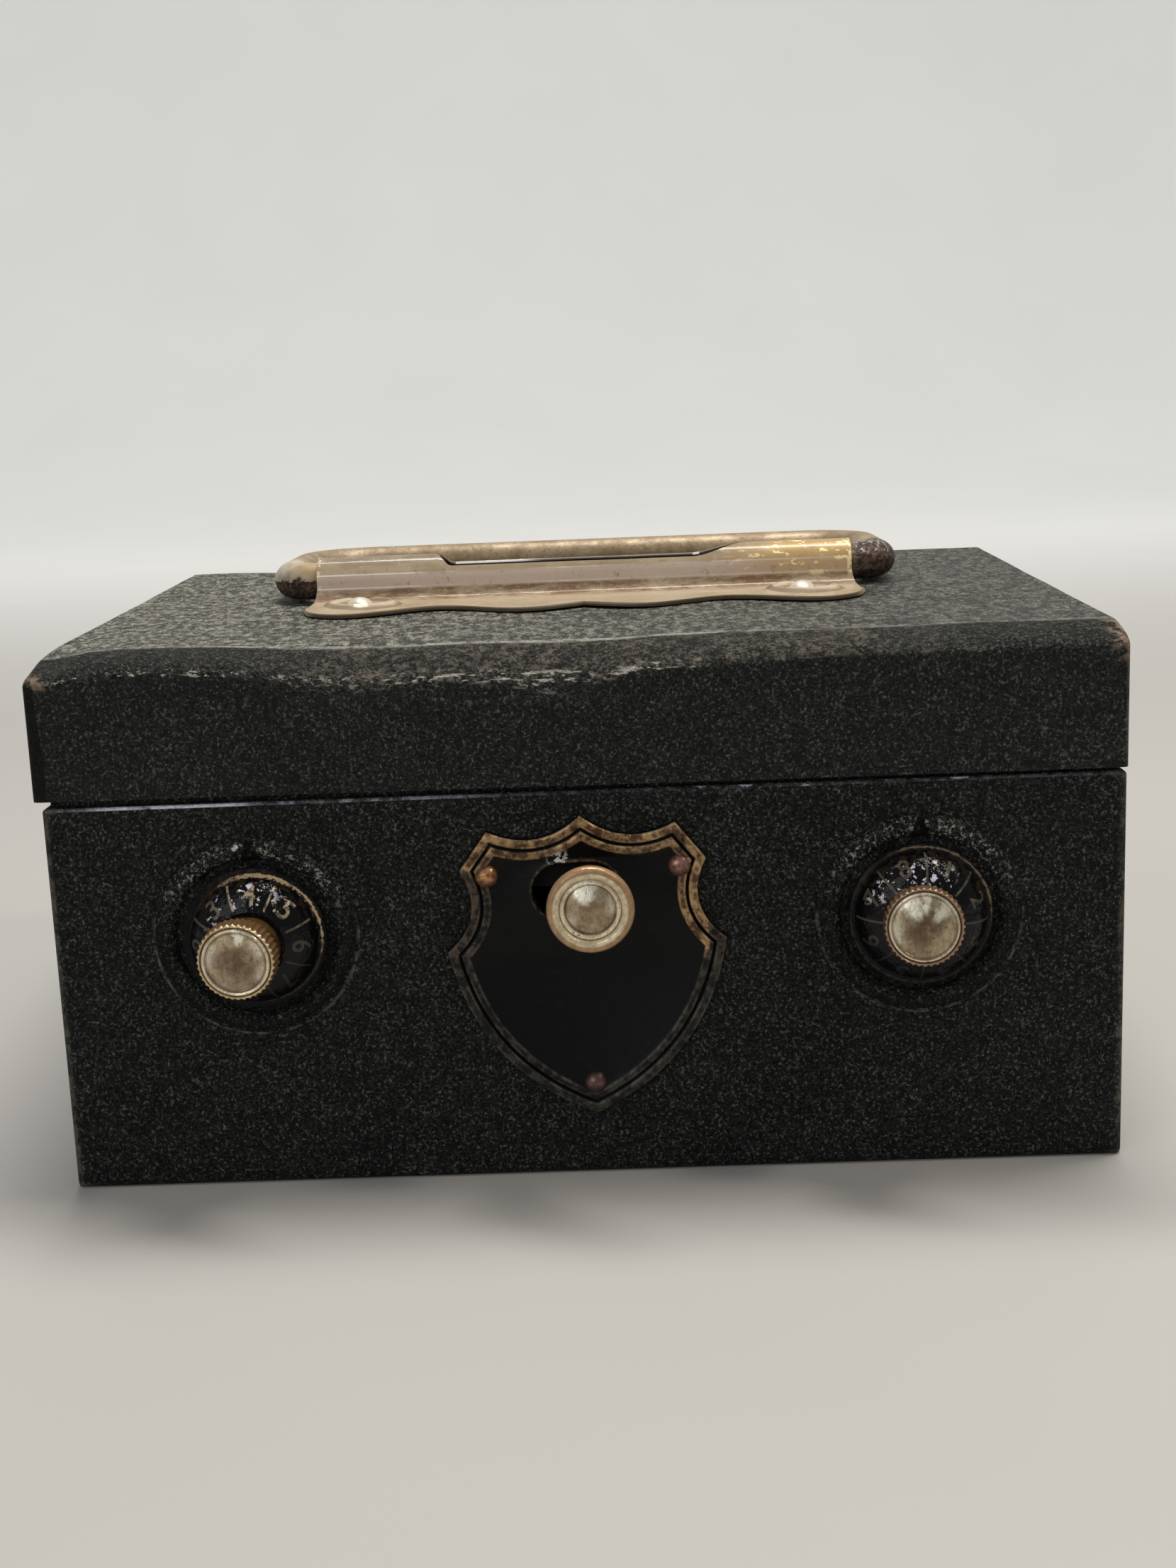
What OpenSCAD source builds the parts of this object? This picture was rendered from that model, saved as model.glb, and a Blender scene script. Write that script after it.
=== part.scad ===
// Safe coin bank: a pressed-steel box with a hinged lid, two numbered dials on the front,
// a sliding latch knob in a shield, and a drop handle whose bracket opens over the coin slot.
// Millimetres, +Z up, the front faces -Y, origin at the centre of the underside.

/* [Case] */
// Width of the box, left to right
case_w = 140; // [128:1:170]
// Depth of the box, front to back
case_d = 108; // [96:1:140]
// Height of the closed box
case_h = 71; // [70:1:90]
// Height of the lid
lid_h = 18.3; // [16:0.1:19]
// Thickness of the body and lid sheet
sheet_t = 0.8; // [0.6:0.1:1]
// Radius of the upright corners
corner_r = 1.6; // [1.4:0.1:4]
// Radius of the bend along the lid's front and back
lid_bend_r = 3.2; // [2:0.1:6]
// Radius of the lid's side edges and of the body's edges
edge_r = 1.2; // [1.1:0.1:2]
// Height of the lip that the lid closes over
lip_h = 5; // [3:0.1:6]

/* [Shield] */
// Width of the shield across its shoulders
shield_w = 36.6; // [34:0.1:44]
// Height of the shield from its lower tip to its upper one
shield_h = 40.7; // [38:0.1:42]
// Distance of the shield's upper tip below the lid
shield_drop = 3.4; // [3:0.1:6]
// Angle by which the shield sits askew on the front, in degrees
shield_turn = 1.2; // [0:0.1:2]
// Thickness of the shield plate
shield_t = 0.5; // [0.3:0.1:1]
// Width of each of the two border ridges
ridge_w = 0.85; // [0.5:0.05:1]
// Height of the border ridges
ridge_h = 0.35; // [0.2:0.05:0.6]
// Diameter of the shield rivets' heads
shield_rivet_d = 3; // [2.4:0.1:3.2]

/* [Dials] */
// Distance of each dial's axis from the side of the box
dial_inset = 26.8; // [25:0.1:28]
// Distance of the dials' axis below the lid
dial_drop = 18.2; // [17.8:0.1:22]
// Diameter of the dials
dial_d = 18.6; // [16:0.1:19]
// Distance that the dials stand out
dial_h = 5; // [4:0.1:6]
// Diameter of the raised ring's crest round each dial
collar_d = 23.6; // [22.6:0.1:26]
// Height of the raised ring
collar_h = 1; // [0.7:0.05:1.2]
// Diameter of the dial knobs
dial_knob_d = 10.2; // [9:0.1:12]
// Thickness of the dial knobs
dial_knob_h = 3.4; // [3:0.1:5]
// Diameter of the neck between dial and knob
neck_d = 8; // [5:0.1:8.4]
// Length of that neck
neck_h = 2.2; // [1:0.1:3]
// Number of teeth in the dial knobs' knurl
knurl_count = 40; // [24:1:60]
// Depth of the knurl
knurl_depth = 0.22; // [0.1:0.01:0.4]
// Diameter of the spindles
spindle_d = 4; // [3:0.1:4.4]

/* [Lock] */
// Distance of the latch knob's axis below the lid
latch_drop = 13.5; // [11.7:0.1:13.9]
// Diameter of the latch knob
latch_knob_d = 11.1; // [10:0.1:13]
// Thickness of the latch knob
latch_knob_h = 3.2; // [2.6:0.1:5]
// Distance from the shield to the back of the latch knob
latch_stem_h = 7; // [5:0.1:8]
// Diameter of the latch stem
latch_stem_d = 6.8; // [5:0.1:8]
// Distance that the latch slides
latch_travel = 3.9; // [3.6:0.1:4.4]
// Thickness of the slide bar and the tumblers' discs
bar_t = 1; // [0.8:0.1:1.2]
// Width of the slide bar
bar_w = 5; // [4:0.1:6]
// Outer diameter of the tumblers
tumbler_d = 18; // [16:0.1:20]
// Thickness of the tumblers' rims
rim_t = 1.2; // [0.8:0.1:1.4]
// Depth of the tumblers' rims
rim_depth = 2.6; // [2:0.1:4]
// Height of the tabs that pass through the gates
tab_h = 3; // [2:0.1:4]

/* [Handle] */
// Diameter of the handle's rod
rod_d = 5.6; // [4.6:0.1:6.4]
// Width of the handle over its arms
bail_w = 96.6; // [92:0.1:110]
// Distance from the handle's axis to the middle of its grip
bail_reach = 30; // [26:0.5:34]
// Radius of the handle's corners at the grip
grip_bend_r = 10; // [6:0.5:14]
// Length of the bracket's roll
roll_len = 81.4; // [76:0.1:86]
// Distance of the handle's axis behind the middle of the box
roll_y = 3; // [0:0.5:6]
// Distance of the handle's middle to the right of the box's
handle_x = 0.5; // [-1:0.1:1]
// Thickness of the bracket sheet
bracket_t = 0.6; // [0.4:0.05:0.8]
// Depth of the bracket's flange, from the roll to its lobes
flange_depth = 18.2; // [16:0.1:22]
// Diameter of the bracket rivets' heads
bracket_rivet_d = 4.4; // [4:0.1:6]
// Distance of the bracket rivets from the middle of the box
bracket_rivet_x = 33; // [30:0.1:35]
// Length of the opening in the roll
roll_opening = 43; // [40:1:46]
// Length of the coin slot in the lid
coin_slot_l = 36; // [32:0.5:38]
// Width of the coin slot in the lid
coin_slot_w = 3.2; // [2.6:0.1:3.4]

/* [Hinge] */
// Length of the hinge
hinge_len = 100; // [80:1:120]
// Diameter of the hinge knuckles
knuckle_d = 3.4; // [3:0.1:4]
// Diameter of the hinge pin
hinge_pin_d = 1.8; // [1.4:0.1:2]
// Thickness of the hinge leaves
leaf_t = 0.6; // [0.5:0.05:0.8]
// Height of each hinge leaf from the pin's axis
leaf_h = 9; // [8.4:0.1:10]

/* [Clearances] */
// Gap round a spindle or pin that turns
run_gap = 0.05; // [0.02:0.01:0.09]
// Gap round a piece that is pressed or riveted into its seat
fit_gap = 0.02; // [0.01:0.01:0.04]
// Gap between faces that pass each other
slide_gap = 0.3; // [0.2:0.05:0.4]

/* [Hidden] */
$fn = 64;
tiny = 0.01;
over = 1;

front_y = -case_d / 2;
back_y = case_d / 2;
parting_z = case_h - lid_h;
shoulder_z = parting_z - slide_gap;
lip_inset = sheet_t + slide_gap;
lip_top_z = parting_z + lip_h;
dial_x = case_w / 2 - dial_inset;
dial_z = parting_z - dial_drop;
latch_z = parting_z - latch_drop;

// Places along a front-mounted piece's own axis: outward from the front face is positive
panel_back = -sheet_t;
bar_front = -(lip_inset + sheet_t + slide_gap);
bar_back = bar_front - bar_t;
rim_front = bar_back - slide_gap;
rim_back = rim_front - rim_depth;
tumbler_back = rim_back - bar_t;
bush_flange_t = 0.9;
bush_back = panel_back - bush_flange_t;
clip_t = 0.6;
spindle_tail = 0.5;
spindle_back = tumbler_back - slide_gap - clip_t - spindle_tail;

dial_back = slide_gap;
dial_front = dial_back + dial_h;
cap_back = dial_front + neck_h;
cap_floor = 1;
cap_front = cap_back + dial_knob_h;
face_rim_t = 0.9;

spindle_r = spindle_d / 2;
bush_wall = 1.2;
bush_r = spindle_r + bush_wall;
bush_flange_r = bush_r + bush_wall;
hub_wall = 1.4;
hub_r = spindle_r + hub_wall;
tumbler_r = tumbler_d / 2;
tab_t = 1;
tab_clear = 0.4;
gate_h = tab_h + 2 * tab_clear;

collar_half_w = 1.5;
collar_arc_r = (collar_half_w * collar_half_w + collar_h * collar_h) / (2 * collar_h);
collar_sheet = 0.6;

// The latch knob stands at the right end of its slot, where the lid is free
latch_x = 0.7;
slot_r = latch_stem_d / 2 + slide_gap;
bar_low_z = dial_z + bush_flange_r + slide_gap;
bar_top_z = bar_low_z + bar_w;
left_tab_x = -dial_x + tumbler_r + tab_clear;
right_tab_x = dial_x + tumbler_r + tab_clear;
tab_arm_w = 4;
shelf_z = lip_top_z + slide_gap;
shelf_t = sheet_t;
shelf_reach = 2;
finger_z = shelf_z + shelf_t + slide_gap;
finger_h = 2.2;
finger_l = latch_travel + tab_t / 2;
hook_w = 4;
finger_offset = 3;
finger_tip_x = latch_x + finger_offset;
strike_w = 8;
strike_h = 7;

roll_ri = rod_d / 2 + run_gap + slide_gap / 10;
roll_ro = roll_ri + bracket_t;
roll_z = case_h + roll_ro;
roll_front_y = roll_y - roll_ro;
arm_x = bail_w / 2 - rod_d / 2;
bail_bend_r = arm_x - roll_len / 2 - slide_gap / 2;
journal_gap = 1;
journal_l = (roll_len - roll_opening) / 2 - journal_gap;
bail_droop = asin((roll_z - case_h - rod_d / 2 - slide_gap / 3) / bail_reach);
flange_overhang = 0.5;
flange_w = roll_len + 2 * flange_overhang;
bracket_rivet_reach = 6.6;
bracket_rivet_y = roll_front_y - bracket_rivet_reach;

knuckle_r = knuckle_d / 2;
hinge_y = back_y + knuckle_r + slide_gap;
hinge_z = parting_z;
knuckle_count = 5;
knuckle_pitch = hinge_len / knuckle_count;
leaf_rivet_edge = 2;
leaf_rivet_z = leaf_h - leaf_rivet_edge;
leaf_rivet_pitch = hinge_len / 4.4;
leaf_rivet_xs = [for (i = [0:3]) (i - 1.5) * leaf_rivet_pitch];
rivet_shank_r = 0.9;
rivet_tail_r = 1.4;
rivet_head_r = 1.5;
rivet_head_h = 0.7;

// Points of a curve from a to b that bows out by sag to the left of its chord; b itself is left out
function bowed(a, b, sag, steps = 10) =
  [for (i = [0:steps - 1])
    let (t = i / steps, across = [a.y - b.y, b.x - a.x] / norm(b - a))
    a + t * (b - a) + 4 * t * (1 - t) * sag * across];

function mirrored(points) = [for (i = [len(points) - 1:-1:0]) [-points[i].x, points[i].y]];

// Places children on the front face with their own Z pointing out of it and their own Y up
module on_front(x, z) {
  translate([x, front_y, z]) rotate([90, 0, 0]) children();
}

// Rod along X from x0 to x1
module rod_x(x0, x1, r) {
  translate([x0, 0, 0]) rotate([0, 90, 0]) cylinder(r = r, h = x1 - x0);
}

module rounded_rect(w, d, r) {
  square([w - 2 * r, d], center = true);
  square([w, d - 2 * r], center = true);
  for (sx = [-1, 1], sy = [-1, 1])
    translate([sx * (w / 2 - r), sy * (d / 2 - r)]) circle(r = r);
}

// Upright outline of width w and height h whose upper corners are rounded by r
module arched_rect(w, h, r) {
  translate([-w / 2, 0]) square([w, h - r]);
  translate([-w / 2 + r, 0]) square([w - 2 * r, h]);
  for (sx = [-1, 1])
    translate([sx * (w / 2 - r), h - r]) circle(r = r);
}

// Block with rounded corners in plan and rounded upper edges, standing on z = 0
module pan(w, d, h, plan_r, side_r, bend_r) {
  intersection() {
    linear_extrude(h) rounded_rect(w, d, plan_r);
    translate([0, d / 2, 0]) rotate([90, 0, 0]) linear_extrude(d) arched_rect(w, h, side_r);
    translate([-w / 2, 0, 0]) rotate([90, 0, 90]) linear_extrude(w) arched_rect(d, h, bend_r);
  }
}

// Block with all edges rounded, standing on z = 0
module soft_block(w, d, h, plan_r, r) {
  intersection() {
    pan(w, d, h, plan_r, r, r);
    translate([0, 0, h]) mirror([0, 0, 1]) pan(w, d, h, plan_r, r, r);
  }
}

// Upright-sided block from z0 to z1, inset from the case outline
module case_block(inset, z0, z1) {
  r = max(corner_r - inset, 0.2);
  translate([0, 0, z0])
    linear_extrude(z1 - z0) rounded_rect(case_w - 2 * inset, case_d - 2 * inset, r);
}

// Solid rivet along Z: a domed head above z = 0 and a flat upset tail below the gripped sheets
module rivet(head_r, head_h, shank_r, grip, tail_h) {
  dome_r = (head_r * head_r + head_h * head_h) / (2 * head_h);
  intersection() {
    translate([0, 0, head_h - dome_r]) sphere(r = dome_r);
    cylinder(r = head_r, h = head_h);
  }
  translate([0, 0, -grip]) cylinder(r = shank_r, h = grip);
  translate([0, 0, -grip - tail_h]) cylinder(r = rivet_tail_r, h = tail_h);
}

// Raised ring pressed into the panel round a dial, in the frame of on_front
module collar_ring(arc_r, depth) {
  rotate_extrude()
    intersection() {
      translate([collar_d / 2, collar_h - collar_arc_r]) circle(r = arc_r);
      translate([0, -depth]) square([collar_d, depth + collar_h + over]);
    }
}

module slot_cut(gap, height) {
  for (x = [latch_x, latch_x - latch_travel])
    translate([x, 0, 0]) cylinder(r = slot_r + gap, h = height);
  translate([latch_x - latch_travel, -slot_r - gap, 0])
    cube([latch_travel, 2 * (slot_r + gap), height]);
}

module body_shell() color([0.09, 0.1, 0.095]) {
  difference() {
    union() {
      soft_block(case_w, case_d, shoulder_z, corner_r, edge_r);
      case_block(lip_inset, shoulder_z - edge_r, lip_top_z);
      for (side = [-1, 1])
        on_front(side * dial_x, dial_z) collar_ring(collar_arc_r, sheet_t / 2);
    }
    case_block(sheet_t, sheet_t, shoulder_z - sheet_t);
    case_block(lip_inset + sheet_t, sheet_t, lip_top_z + over);
    for (side = [-1, 1])
      on_front(side * dial_x, dial_z) {
        collar_ring(collar_arc_r - collar_sheet, sheet_t + over);
        translate([0, 0, -sheet_t - over]) cylinder(r = bush_r + fit_gap, h = sheet_t + 2 * over);
        index_notch();
      }
    on_front(0, latch_z)
      translate([0, 0, -sheet_t - over]) slot_cut(fit_gap, sheet_t + 2 * over);
    for (place = shield_rivet_places)
      on_front(place.x, place.y)
        translate([0, 0, -sheet_t - over]) cylinder(r = rivet_shank_r + fit_gap, h = sheet_t + 2 * over);
    for (x = leaf_rivet_xs)
      translate([x, back_y + over, hinge_z - leaf_rivet_z])
        rotate([90, 0, 0]) cylinder(r = rivet_shank_r + fit_gap, h = sheet_t + 2 * over);
  }
}

// Mark at twelve o'clock in the raised ring, against which a dial is read
module index_notch() {
  notch_w = 1.4;
  notch_depth = 0.45;
  translate([-notch_w / 2, collar_d / 2 - collar_half_w - over, collar_h - notch_depth])
    cube([notch_w, 2 * (collar_half_w + over), notch_depth + over]);
}

module lid_shell() color([0.1, 0.11, 0.105]) {
  difference() {
    translate([0, 0, parting_z]) pan(case_w, case_d, lid_h, corner_r, edge_r, lid_bend_r);
    translate([0, 0, parting_z - over])
      pan(
        case_w - 2 * sheet_t, case_d - 2 * sheet_t, lid_h - sheet_t + over,
        max(corner_r - sheet_t, 0.2), max(edge_r - sheet_t, 0.2), lid_bend_r - sheet_t
      );
    translate([handle_x, roll_y, case_h - sheet_t - over]) coin_slot_cut(sheet_t + 2 * over);
    for (side = [-1, 1])
      translate([side * bracket_rivet_x, bracket_rivet_y, case_h - sheet_t - over])
        cylinder(r = rivet_shank_r + fit_gap, h = sheet_t + 2 * over);
    for (x = leaf_rivet_xs)
      translate([x, back_y + over, hinge_z + leaf_rivet_z])
        rotate([90, 0, 0]) cylinder(r = rivet_shank_r + fit_gap, h = sheet_t + 2 * over);
  }
}

// Long hole with round ends for the coins
module coin_slot_cut(height) {
  r = coin_slot_w / 2;
  for (side = [-1, 1])
    translate([side * (coin_slot_l / 2 - r), 0, 0]) cylinder(r = r, h = height);
  translate([-coin_slot_l / 2 + r, -r, 0]) cube([coin_slot_l - 2 * r, coin_slot_w, height]);
}

// Right half of the shield's outline: tip, ear, the cut below the ear, shoulder and foot
shield_top_z = parting_z - shield_drop;
shield_foot_z = shield_top_z - shield_h;
ear_drop = 1.5;
ear_bow = 2.1;
notch_drop = 6.6;
notch_bow = 2.3;
shoulder_drop = 17.4;
flank_bow = 4;
shield_tip = [0, shield_top_z];
shield_ear = [shield_w / 3, shield_top_z - ear_drop];
shield_notch = [shield_w * 0.44, shield_top_z - notch_drop];
shield_shoulder = [shield_w / 2, shield_top_z - shoulder_drop];
shield_foot = [0, shield_foot_z];
shield_half = [
  each bowed(shield_tip, shield_ear, -ear_bow),
  shield_ear,
  each bowed(shield_notch, shield_shoulder, -notch_bow),
  each bowed(shield_shoulder, shield_foot, flank_bow, 14)
];
// A point of the upright shield where it lies on the real one, turned about its middle
function askew(point) =
  let (middle = [0, shield_top_z - shield_h / 2], arm = point - middle)
  middle + [
    arm.x * cos(shield_turn) - arm.y * sin(shield_turn),
    arm.x * sin(shield_turn) + arm.y * cos(shield_turn)
  ];
shield_outline = [
  for (point = concat(shield_half, [shield_foot], mirrored([for (i = [1:len(shield_half) - 1]) shield_half[i]])))
    askew(point)
];

shield_rivet_x = shield_w * 0.342;
shield_rivet_drop = 7.5;
shield_rivet_rise = 4.3;
shield_rivet_places = [
  askew([-shield_rivet_x, shield_top_z - shield_rivet_drop]),
  askew([shield_rivet_x, shield_top_z - shield_rivet_drop]),
  askew([0, shield_foot_z + shield_rivet_rise])
];
ridge_insets = [0.2, 1.9];

// Flat ring that follows the shield's outline between two insets
module border_ridge(inset) {
  translate([0, 0, shield_t - tiny])
    linear_extrude(ridge_h + tiny)
      difference() {
        offset(delta = -inset) polygon(shield_outline);
        offset(delta = -inset - ridge_w) polygon(shield_outline);
      }
}

module shield_plate() color([0.2, 0.16, 0.11]) {
  on_front(0, 0)
    difference() {
      union() {
        linear_extrude(shield_t) polygon(shield_outline);
        for (inset = ridge_insets) border_ridge(inset);
      }
      translate([0, latch_z, -over]) slot_cut(0, shield_t + 2 * over);
      for (place = shield_rivet_places)
        translate([place.x, place.y, -over]) {
          cylinder(r = rivet_shank_r + fit_gap, h = shield_t + 2 * over);
          translate([0, 0, over + shield_t]) cylinder(r = shield_rivet_d / 2 + fit_gap, h = over);
        }
    }
}

module shield_rivets() color([0.42, 0.24, 0.16]) {
  for (place = shield_rivet_places)
    on_front(place.x, place.y)
      translate([0, 0, shield_t])
        rivet(shield_rivet_d / 2, 1, rivet_shank_r, shield_t + sheet_t, 0.6);
}

// Numbered dial: a thin rim below a band that bulges in to the knob's neck
module dial() {
  rim_h = 0.9;
  rim_w = 0.7;
  band_r = dial_d / 2 - rim_w;
  crown_r = neck_d / 2 + 0.6;
  bore_r = spindle_r + fit_gap;
  rotate_extrude()
    polygon(
      [
        [bore_r, dial_back],
        [dial_d / 2, dial_back],
        [dial_d / 2, dial_back + rim_h],
        each bowed([band_r, dial_back + rim_h], [crown_r, dial_front], -0.9),
        [crown_r, dial_front],
        [bore_r, dial_front]
      ]
    );
}

// Shaft that carries dial, knob and tumbler, with the thicker neck seen behind the knob
module spindle() {
  translate([0, 0, spindle_back]) cylinder(r = spindle_r, h = cap_back + cap_floor - spindle_back);
  translate([0, 0, dial_front]) cylinder(r = neck_d / 2, h = neck_h);
}

module knurled_disc(r, h) {
  steps = 2 * knurl_count;
  linear_extrude(h)
    polygon(
      [for (i = [0:steps - 1])
        (r - (i % 2) * knurl_depth) * [cos(i * 360 / steps), sin(i * 360 / steps)]]
    );
}

// Cup with a knurled band between two smooth rounded edges, which holds the face
module knob_cap() {
  r = dial_knob_d / 2;
  edge_h = 0.6;
  smooth_r = r - knurl_depth - 0.08;
  pocket_r = r - face_rim_t;
  difference() {
    union() {
      translate([0, 0, cap_back + edge_h]) knurled_disc(r, dial_knob_h - 2 * edge_h);
      rotate_extrude()
        polygon(
          [
            [0, cap_back],
            each bowed([smooth_r - edge_h, cap_back], [smooth_r, cap_back + edge_h], -0.15, 4),
            each bowed([smooth_r, cap_front - edge_h], [smooth_r - edge_h, cap_front], -0.15, 4),
            [smooth_r - edge_h, cap_front],
            [0, cap_front]
          ]
        );
    }
    translate([0, 0, cap_back + cap_floor]) cylinder(r = pocket_r, h = dial_knob_h);
    translate([0, 0, cap_back - over]) cylinder(r = spindle_r + fit_gap, h = cap_floor + 2 * over);
  }
}

// Thin domed disc with a raised lip, pressed into a knob
module face_disc(r, base, front, dome_h) {
  lip_w = 0.7;
  rotate_extrude()
    polygon(
      [
        [0, base],
        [r, base],
        each bowed([r, front], [r - lip_w, front], -0.3, 6),
        each bowed([r - lip_w, front - 0.25], [0, front + dome_h], -0.12 * dome_h, 8),
        [0, front + dome_h]
      ]
    );
}

module knob_face() {
  face_disc(dial_knob_d / 2 - face_rim_t - fit_gap, cap_back + cap_floor + fit_gap, cap_front + 0.1, 0.1);
}

module bush() {
  difference() {
    union() {
      translate([0, 0, panel_back]) cylinder(r = bush_r, h = sheet_t);
      translate([0, 0, bush_back]) cylinder(r = bush_flange_r, h = bush_flange_t);
    }
    translate([0, 0, bush_back - over]) cylinder(r = spindle_r + run_gap, h = sheet_t + bush_flange_t + 2 * over);
  }
}

// Cup on the spindle whose rim has one gate, at three o'clock when the dial is at rest
module tumbler() {
  difference() {
    translate([0, 0, tumbler_back]) cylinder(r = tumbler_r, h = rim_front - tumbler_back);
    difference() {
      translate([0, 0, rim_back]) cylinder(r = tumbler_r - rim_t, h = rim_depth + over);
      translate([0, 0, rim_back - over]) cylinder(r = hub_r, h = rim_depth + 3 * over);
    }
    translate([hub_r + slide_gap, -gate_h / 2, rim_back])
      cube([tumbler_r, gate_h, rim_depth + over]);
    translate([0, 0, tumbler_back - over])
      cylinder(r = spindle_r + fit_gap, h = rim_front - tumbler_back + 2 * over);
  }
}

// Retaining ring behind the tumbler, open on one side
module clip() {
  mouth_w = 1.8;
  translate([0, 0, tumbler_back - slide_gap / 2 - clip_t])
    difference() {
      cylinder(r = spindle_r + 1.2, h = clip_t);
      translate([0, 0, -over]) cylinder(r = spindle_r + fit_gap, h = clip_t + 2 * over);
      translate([-mouth_w / 2, 0, -over]) cube([mouth_w, dial_d, clip_t + 2 * over]);
    }
}

module left_dial() color([0.06, 0.06, 0.07]) on_front(-dial_x, dial_z) dial();
module right_dial() color([0.06, 0.06, 0.07]) on_front(dial_x, dial_z) dial();
module left_spindle() color([0.48, 0.36, 0.2]) on_front(-dial_x, dial_z) spindle();
module right_spindle() color([0.48, 0.36, 0.2]) on_front(dial_x, dial_z) spindle();
module left_knob_cap() color([0.68, 0.55, 0.33]) on_front(-dial_x, dial_z) knob_cap();
module right_knob_cap() color([0.68, 0.55, 0.33]) on_front(dial_x, dial_z) knob_cap();
module left_knob_face() color([0.62, 0.58, 0.5]) on_front(-dial_x, dial_z) knob_face();
module right_knob_face() color([0.62, 0.58, 0.5]) on_front(dial_x, dial_z) knob_face();
module left_bush() color([0.6, 0.5, 0.3]) on_front(-dial_x, dial_z) bush();
module right_bush() color([0.6, 0.5, 0.3]) on_front(dial_x, dial_z) bush();
module left_tumbler() color([0.55, 0.56, 0.58]) on_front(-dial_x, dial_z) tumbler();
module right_tumbler() color([0.55, 0.56, 0.58]) on_front(dial_x, dial_z) tumbler();
module left_clip() color([0.5, 0.5, 0.52]) on_front(-dial_x, dial_z) clip();
module right_clip() color([0.5, 0.5, 0.52]) on_front(dial_x, dial_z) clip();

latch_cap_back = shield_t + latch_stem_h;
latch_cap_front = latch_cap_back + latch_knob_h;
latch_rim_w = 1.6;
latch_lip_drop = 0.5;
latch_pocket_r = latch_knob_d / 2 - latch_rim_w;
stem_step = 1.2;
bar_lobe_wall = 2.2;
stem_tip_r = latch_stem_d / 2 - stem_step;

// Smooth round knob with a wide rolled rim and a pocket for its face
module latch_knob() color([0.7, 0.6, 0.42]) {
  r = latch_knob_d / 2;
  rim_r = r - 0.75;
  side_in = 0.9;
  lip_z = latch_cap_front - latch_lip_drop;
  on_front(latch_x, latch_z)
    difference() {
      rotate_extrude()
        polygon(
          [
            [0, latch_cap_back],
            each bowed([r - side_in, latch_cap_back], [r, latch_cap_front - side_in], -0.22, 6),
            each bowed([r, latch_cap_front - side_in], [rim_r, latch_cap_front], -0.3, 6),
            each bowed([rim_r, latch_cap_front], [latch_pocket_r, lip_z], -0.15, 5),
            [latch_pocket_r, lip_z],
            [0, lip_z]
          ]
        );
      translate([0, 0, latch_cap_back + cap_floor]) cylinder(r = latch_pocket_r, h = latch_knob_h);
      translate([0, 0, latch_cap_back - over]) cylinder(r = stem_tip_r + fit_gap, h = cap_floor + 2 * over);
    }
}

module latch_knob_face() color([0.66, 0.63, 0.55]) {
  on_front(latch_x, latch_z)
    face_disc(
      latch_pocket_r - fit_gap, latch_cap_back + cap_floor + fit_gap,
      latch_cap_front - latch_lip_drop - 0.1, 0.7
    );
}

// Stem through the slot, riveted over behind the slide bar
module latch_stem() color([0.5, 0.4, 0.24]) {
  head_h = 0.7;
  on_front(latch_x, latch_z) {
    translate([0, 0, bar_front]) cylinder(r = latch_stem_d / 2, h = latch_cap_back - bar_front);
    translate([0, 0, bar_back]) cylinder(r = stem_tip_r, h = latch_cap_back + cap_floor - bar_back);
    translate([0, 0, bar_back - head_h]) cylinder(r = stem_tip_r + 0.7, h = head_h);
  }
}

// Tab bent back from the slide bar beside a tumbler, with the arm that carries it
module bar_tab(x) {
  translate([x, dial_z - tab_h / 2, bar_back]) cube([tab_arm_w, bar_top_z - dial_z + tab_h / 2, bar_t]);
  translate([x, dial_z - tab_h / 2, rim_back + tab_clear]) cube([tab_t, tab_h, bar_front - rim_back - tab_clear]);
}

// Slide bar: carried by the latch stem, it blocks both tumblers and hooks over the lid's strike
module slide_bar() color([0.5, 0.51, 0.53]) {
  lobe_r = stem_tip_r + bar_lobe_wall;
  on_front(0, 0)
    difference() {
      union() {
        translate([left_tab_x, bar_low_z, bar_back])
          cube([right_tab_x + tab_arm_w - left_tab_x, bar_w, bar_t]);
        bar_tab(left_tab_x);
        bar_tab(right_tab_x);
        translate([latch_x, latch_z, bar_back]) cylinder(r = lobe_r, h = bar_t);
        translate([finger_tip_x + finger_l, bar_low_z, bar_back])
          cube([hook_w, finger_z + finger_h - bar_low_z, bar_t]);
        translate([finger_tip_x, finger_z, bar_back]) cube([finger_l + hook_w, finger_h, bar_t]);
      }
      translate([latch_x, latch_z, bar_back - over]) cylinder(r = stem_tip_r + fit_gap, h = bar_t + 2 * over);
    }
}

// Folded loop welded to the front panel, in which the slide bar runs
module bar_guide(x) {
  guide_w = 8;
  guide_t = 0.8;
  foot_h = 3;
  low = bar_low_z - slide_gap;
  high = bar_top_z + slide_gap;
  translate([x - guide_w / 2, 0, 0]) {
    translate([0, low - guide_t - foot_h, panel_back - guide_t])
      cube([guide_w, high - low + 2 * (guide_t + foot_h), guide_t]);
    difference() {
      translate([0, low - guide_t, bar_back - slide_gap / 2 - guide_t])
        cube([guide_w, high - low + 2 * guide_t, panel_back - bar_back + slide_gap / 2 + guide_t]);
      translate([-over, low, bar_back - slide_gap / 2])
        cube([guide_w + 2 * over, high - low, bar_t + slide_gap]);
    }
  }
}

// Each guide stands halfway between a shield rivet's tail and the left tab's arm
guide_x = (shield_rivet_x + rivet_tail_r + dial_x - tumbler_r - tab_clear - tab_arm_w) / 2;
module left_bar_guide() color([0.45, 0.46, 0.48]) on_front(0, 0) bar_guide(-guide_x);
module right_bar_guide() color([0.45, 0.46, 0.48]) on_front(0, 0) bar_guide(guide_x);

strike_x = finger_tip_x - tab_clear - strike_w;

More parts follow.
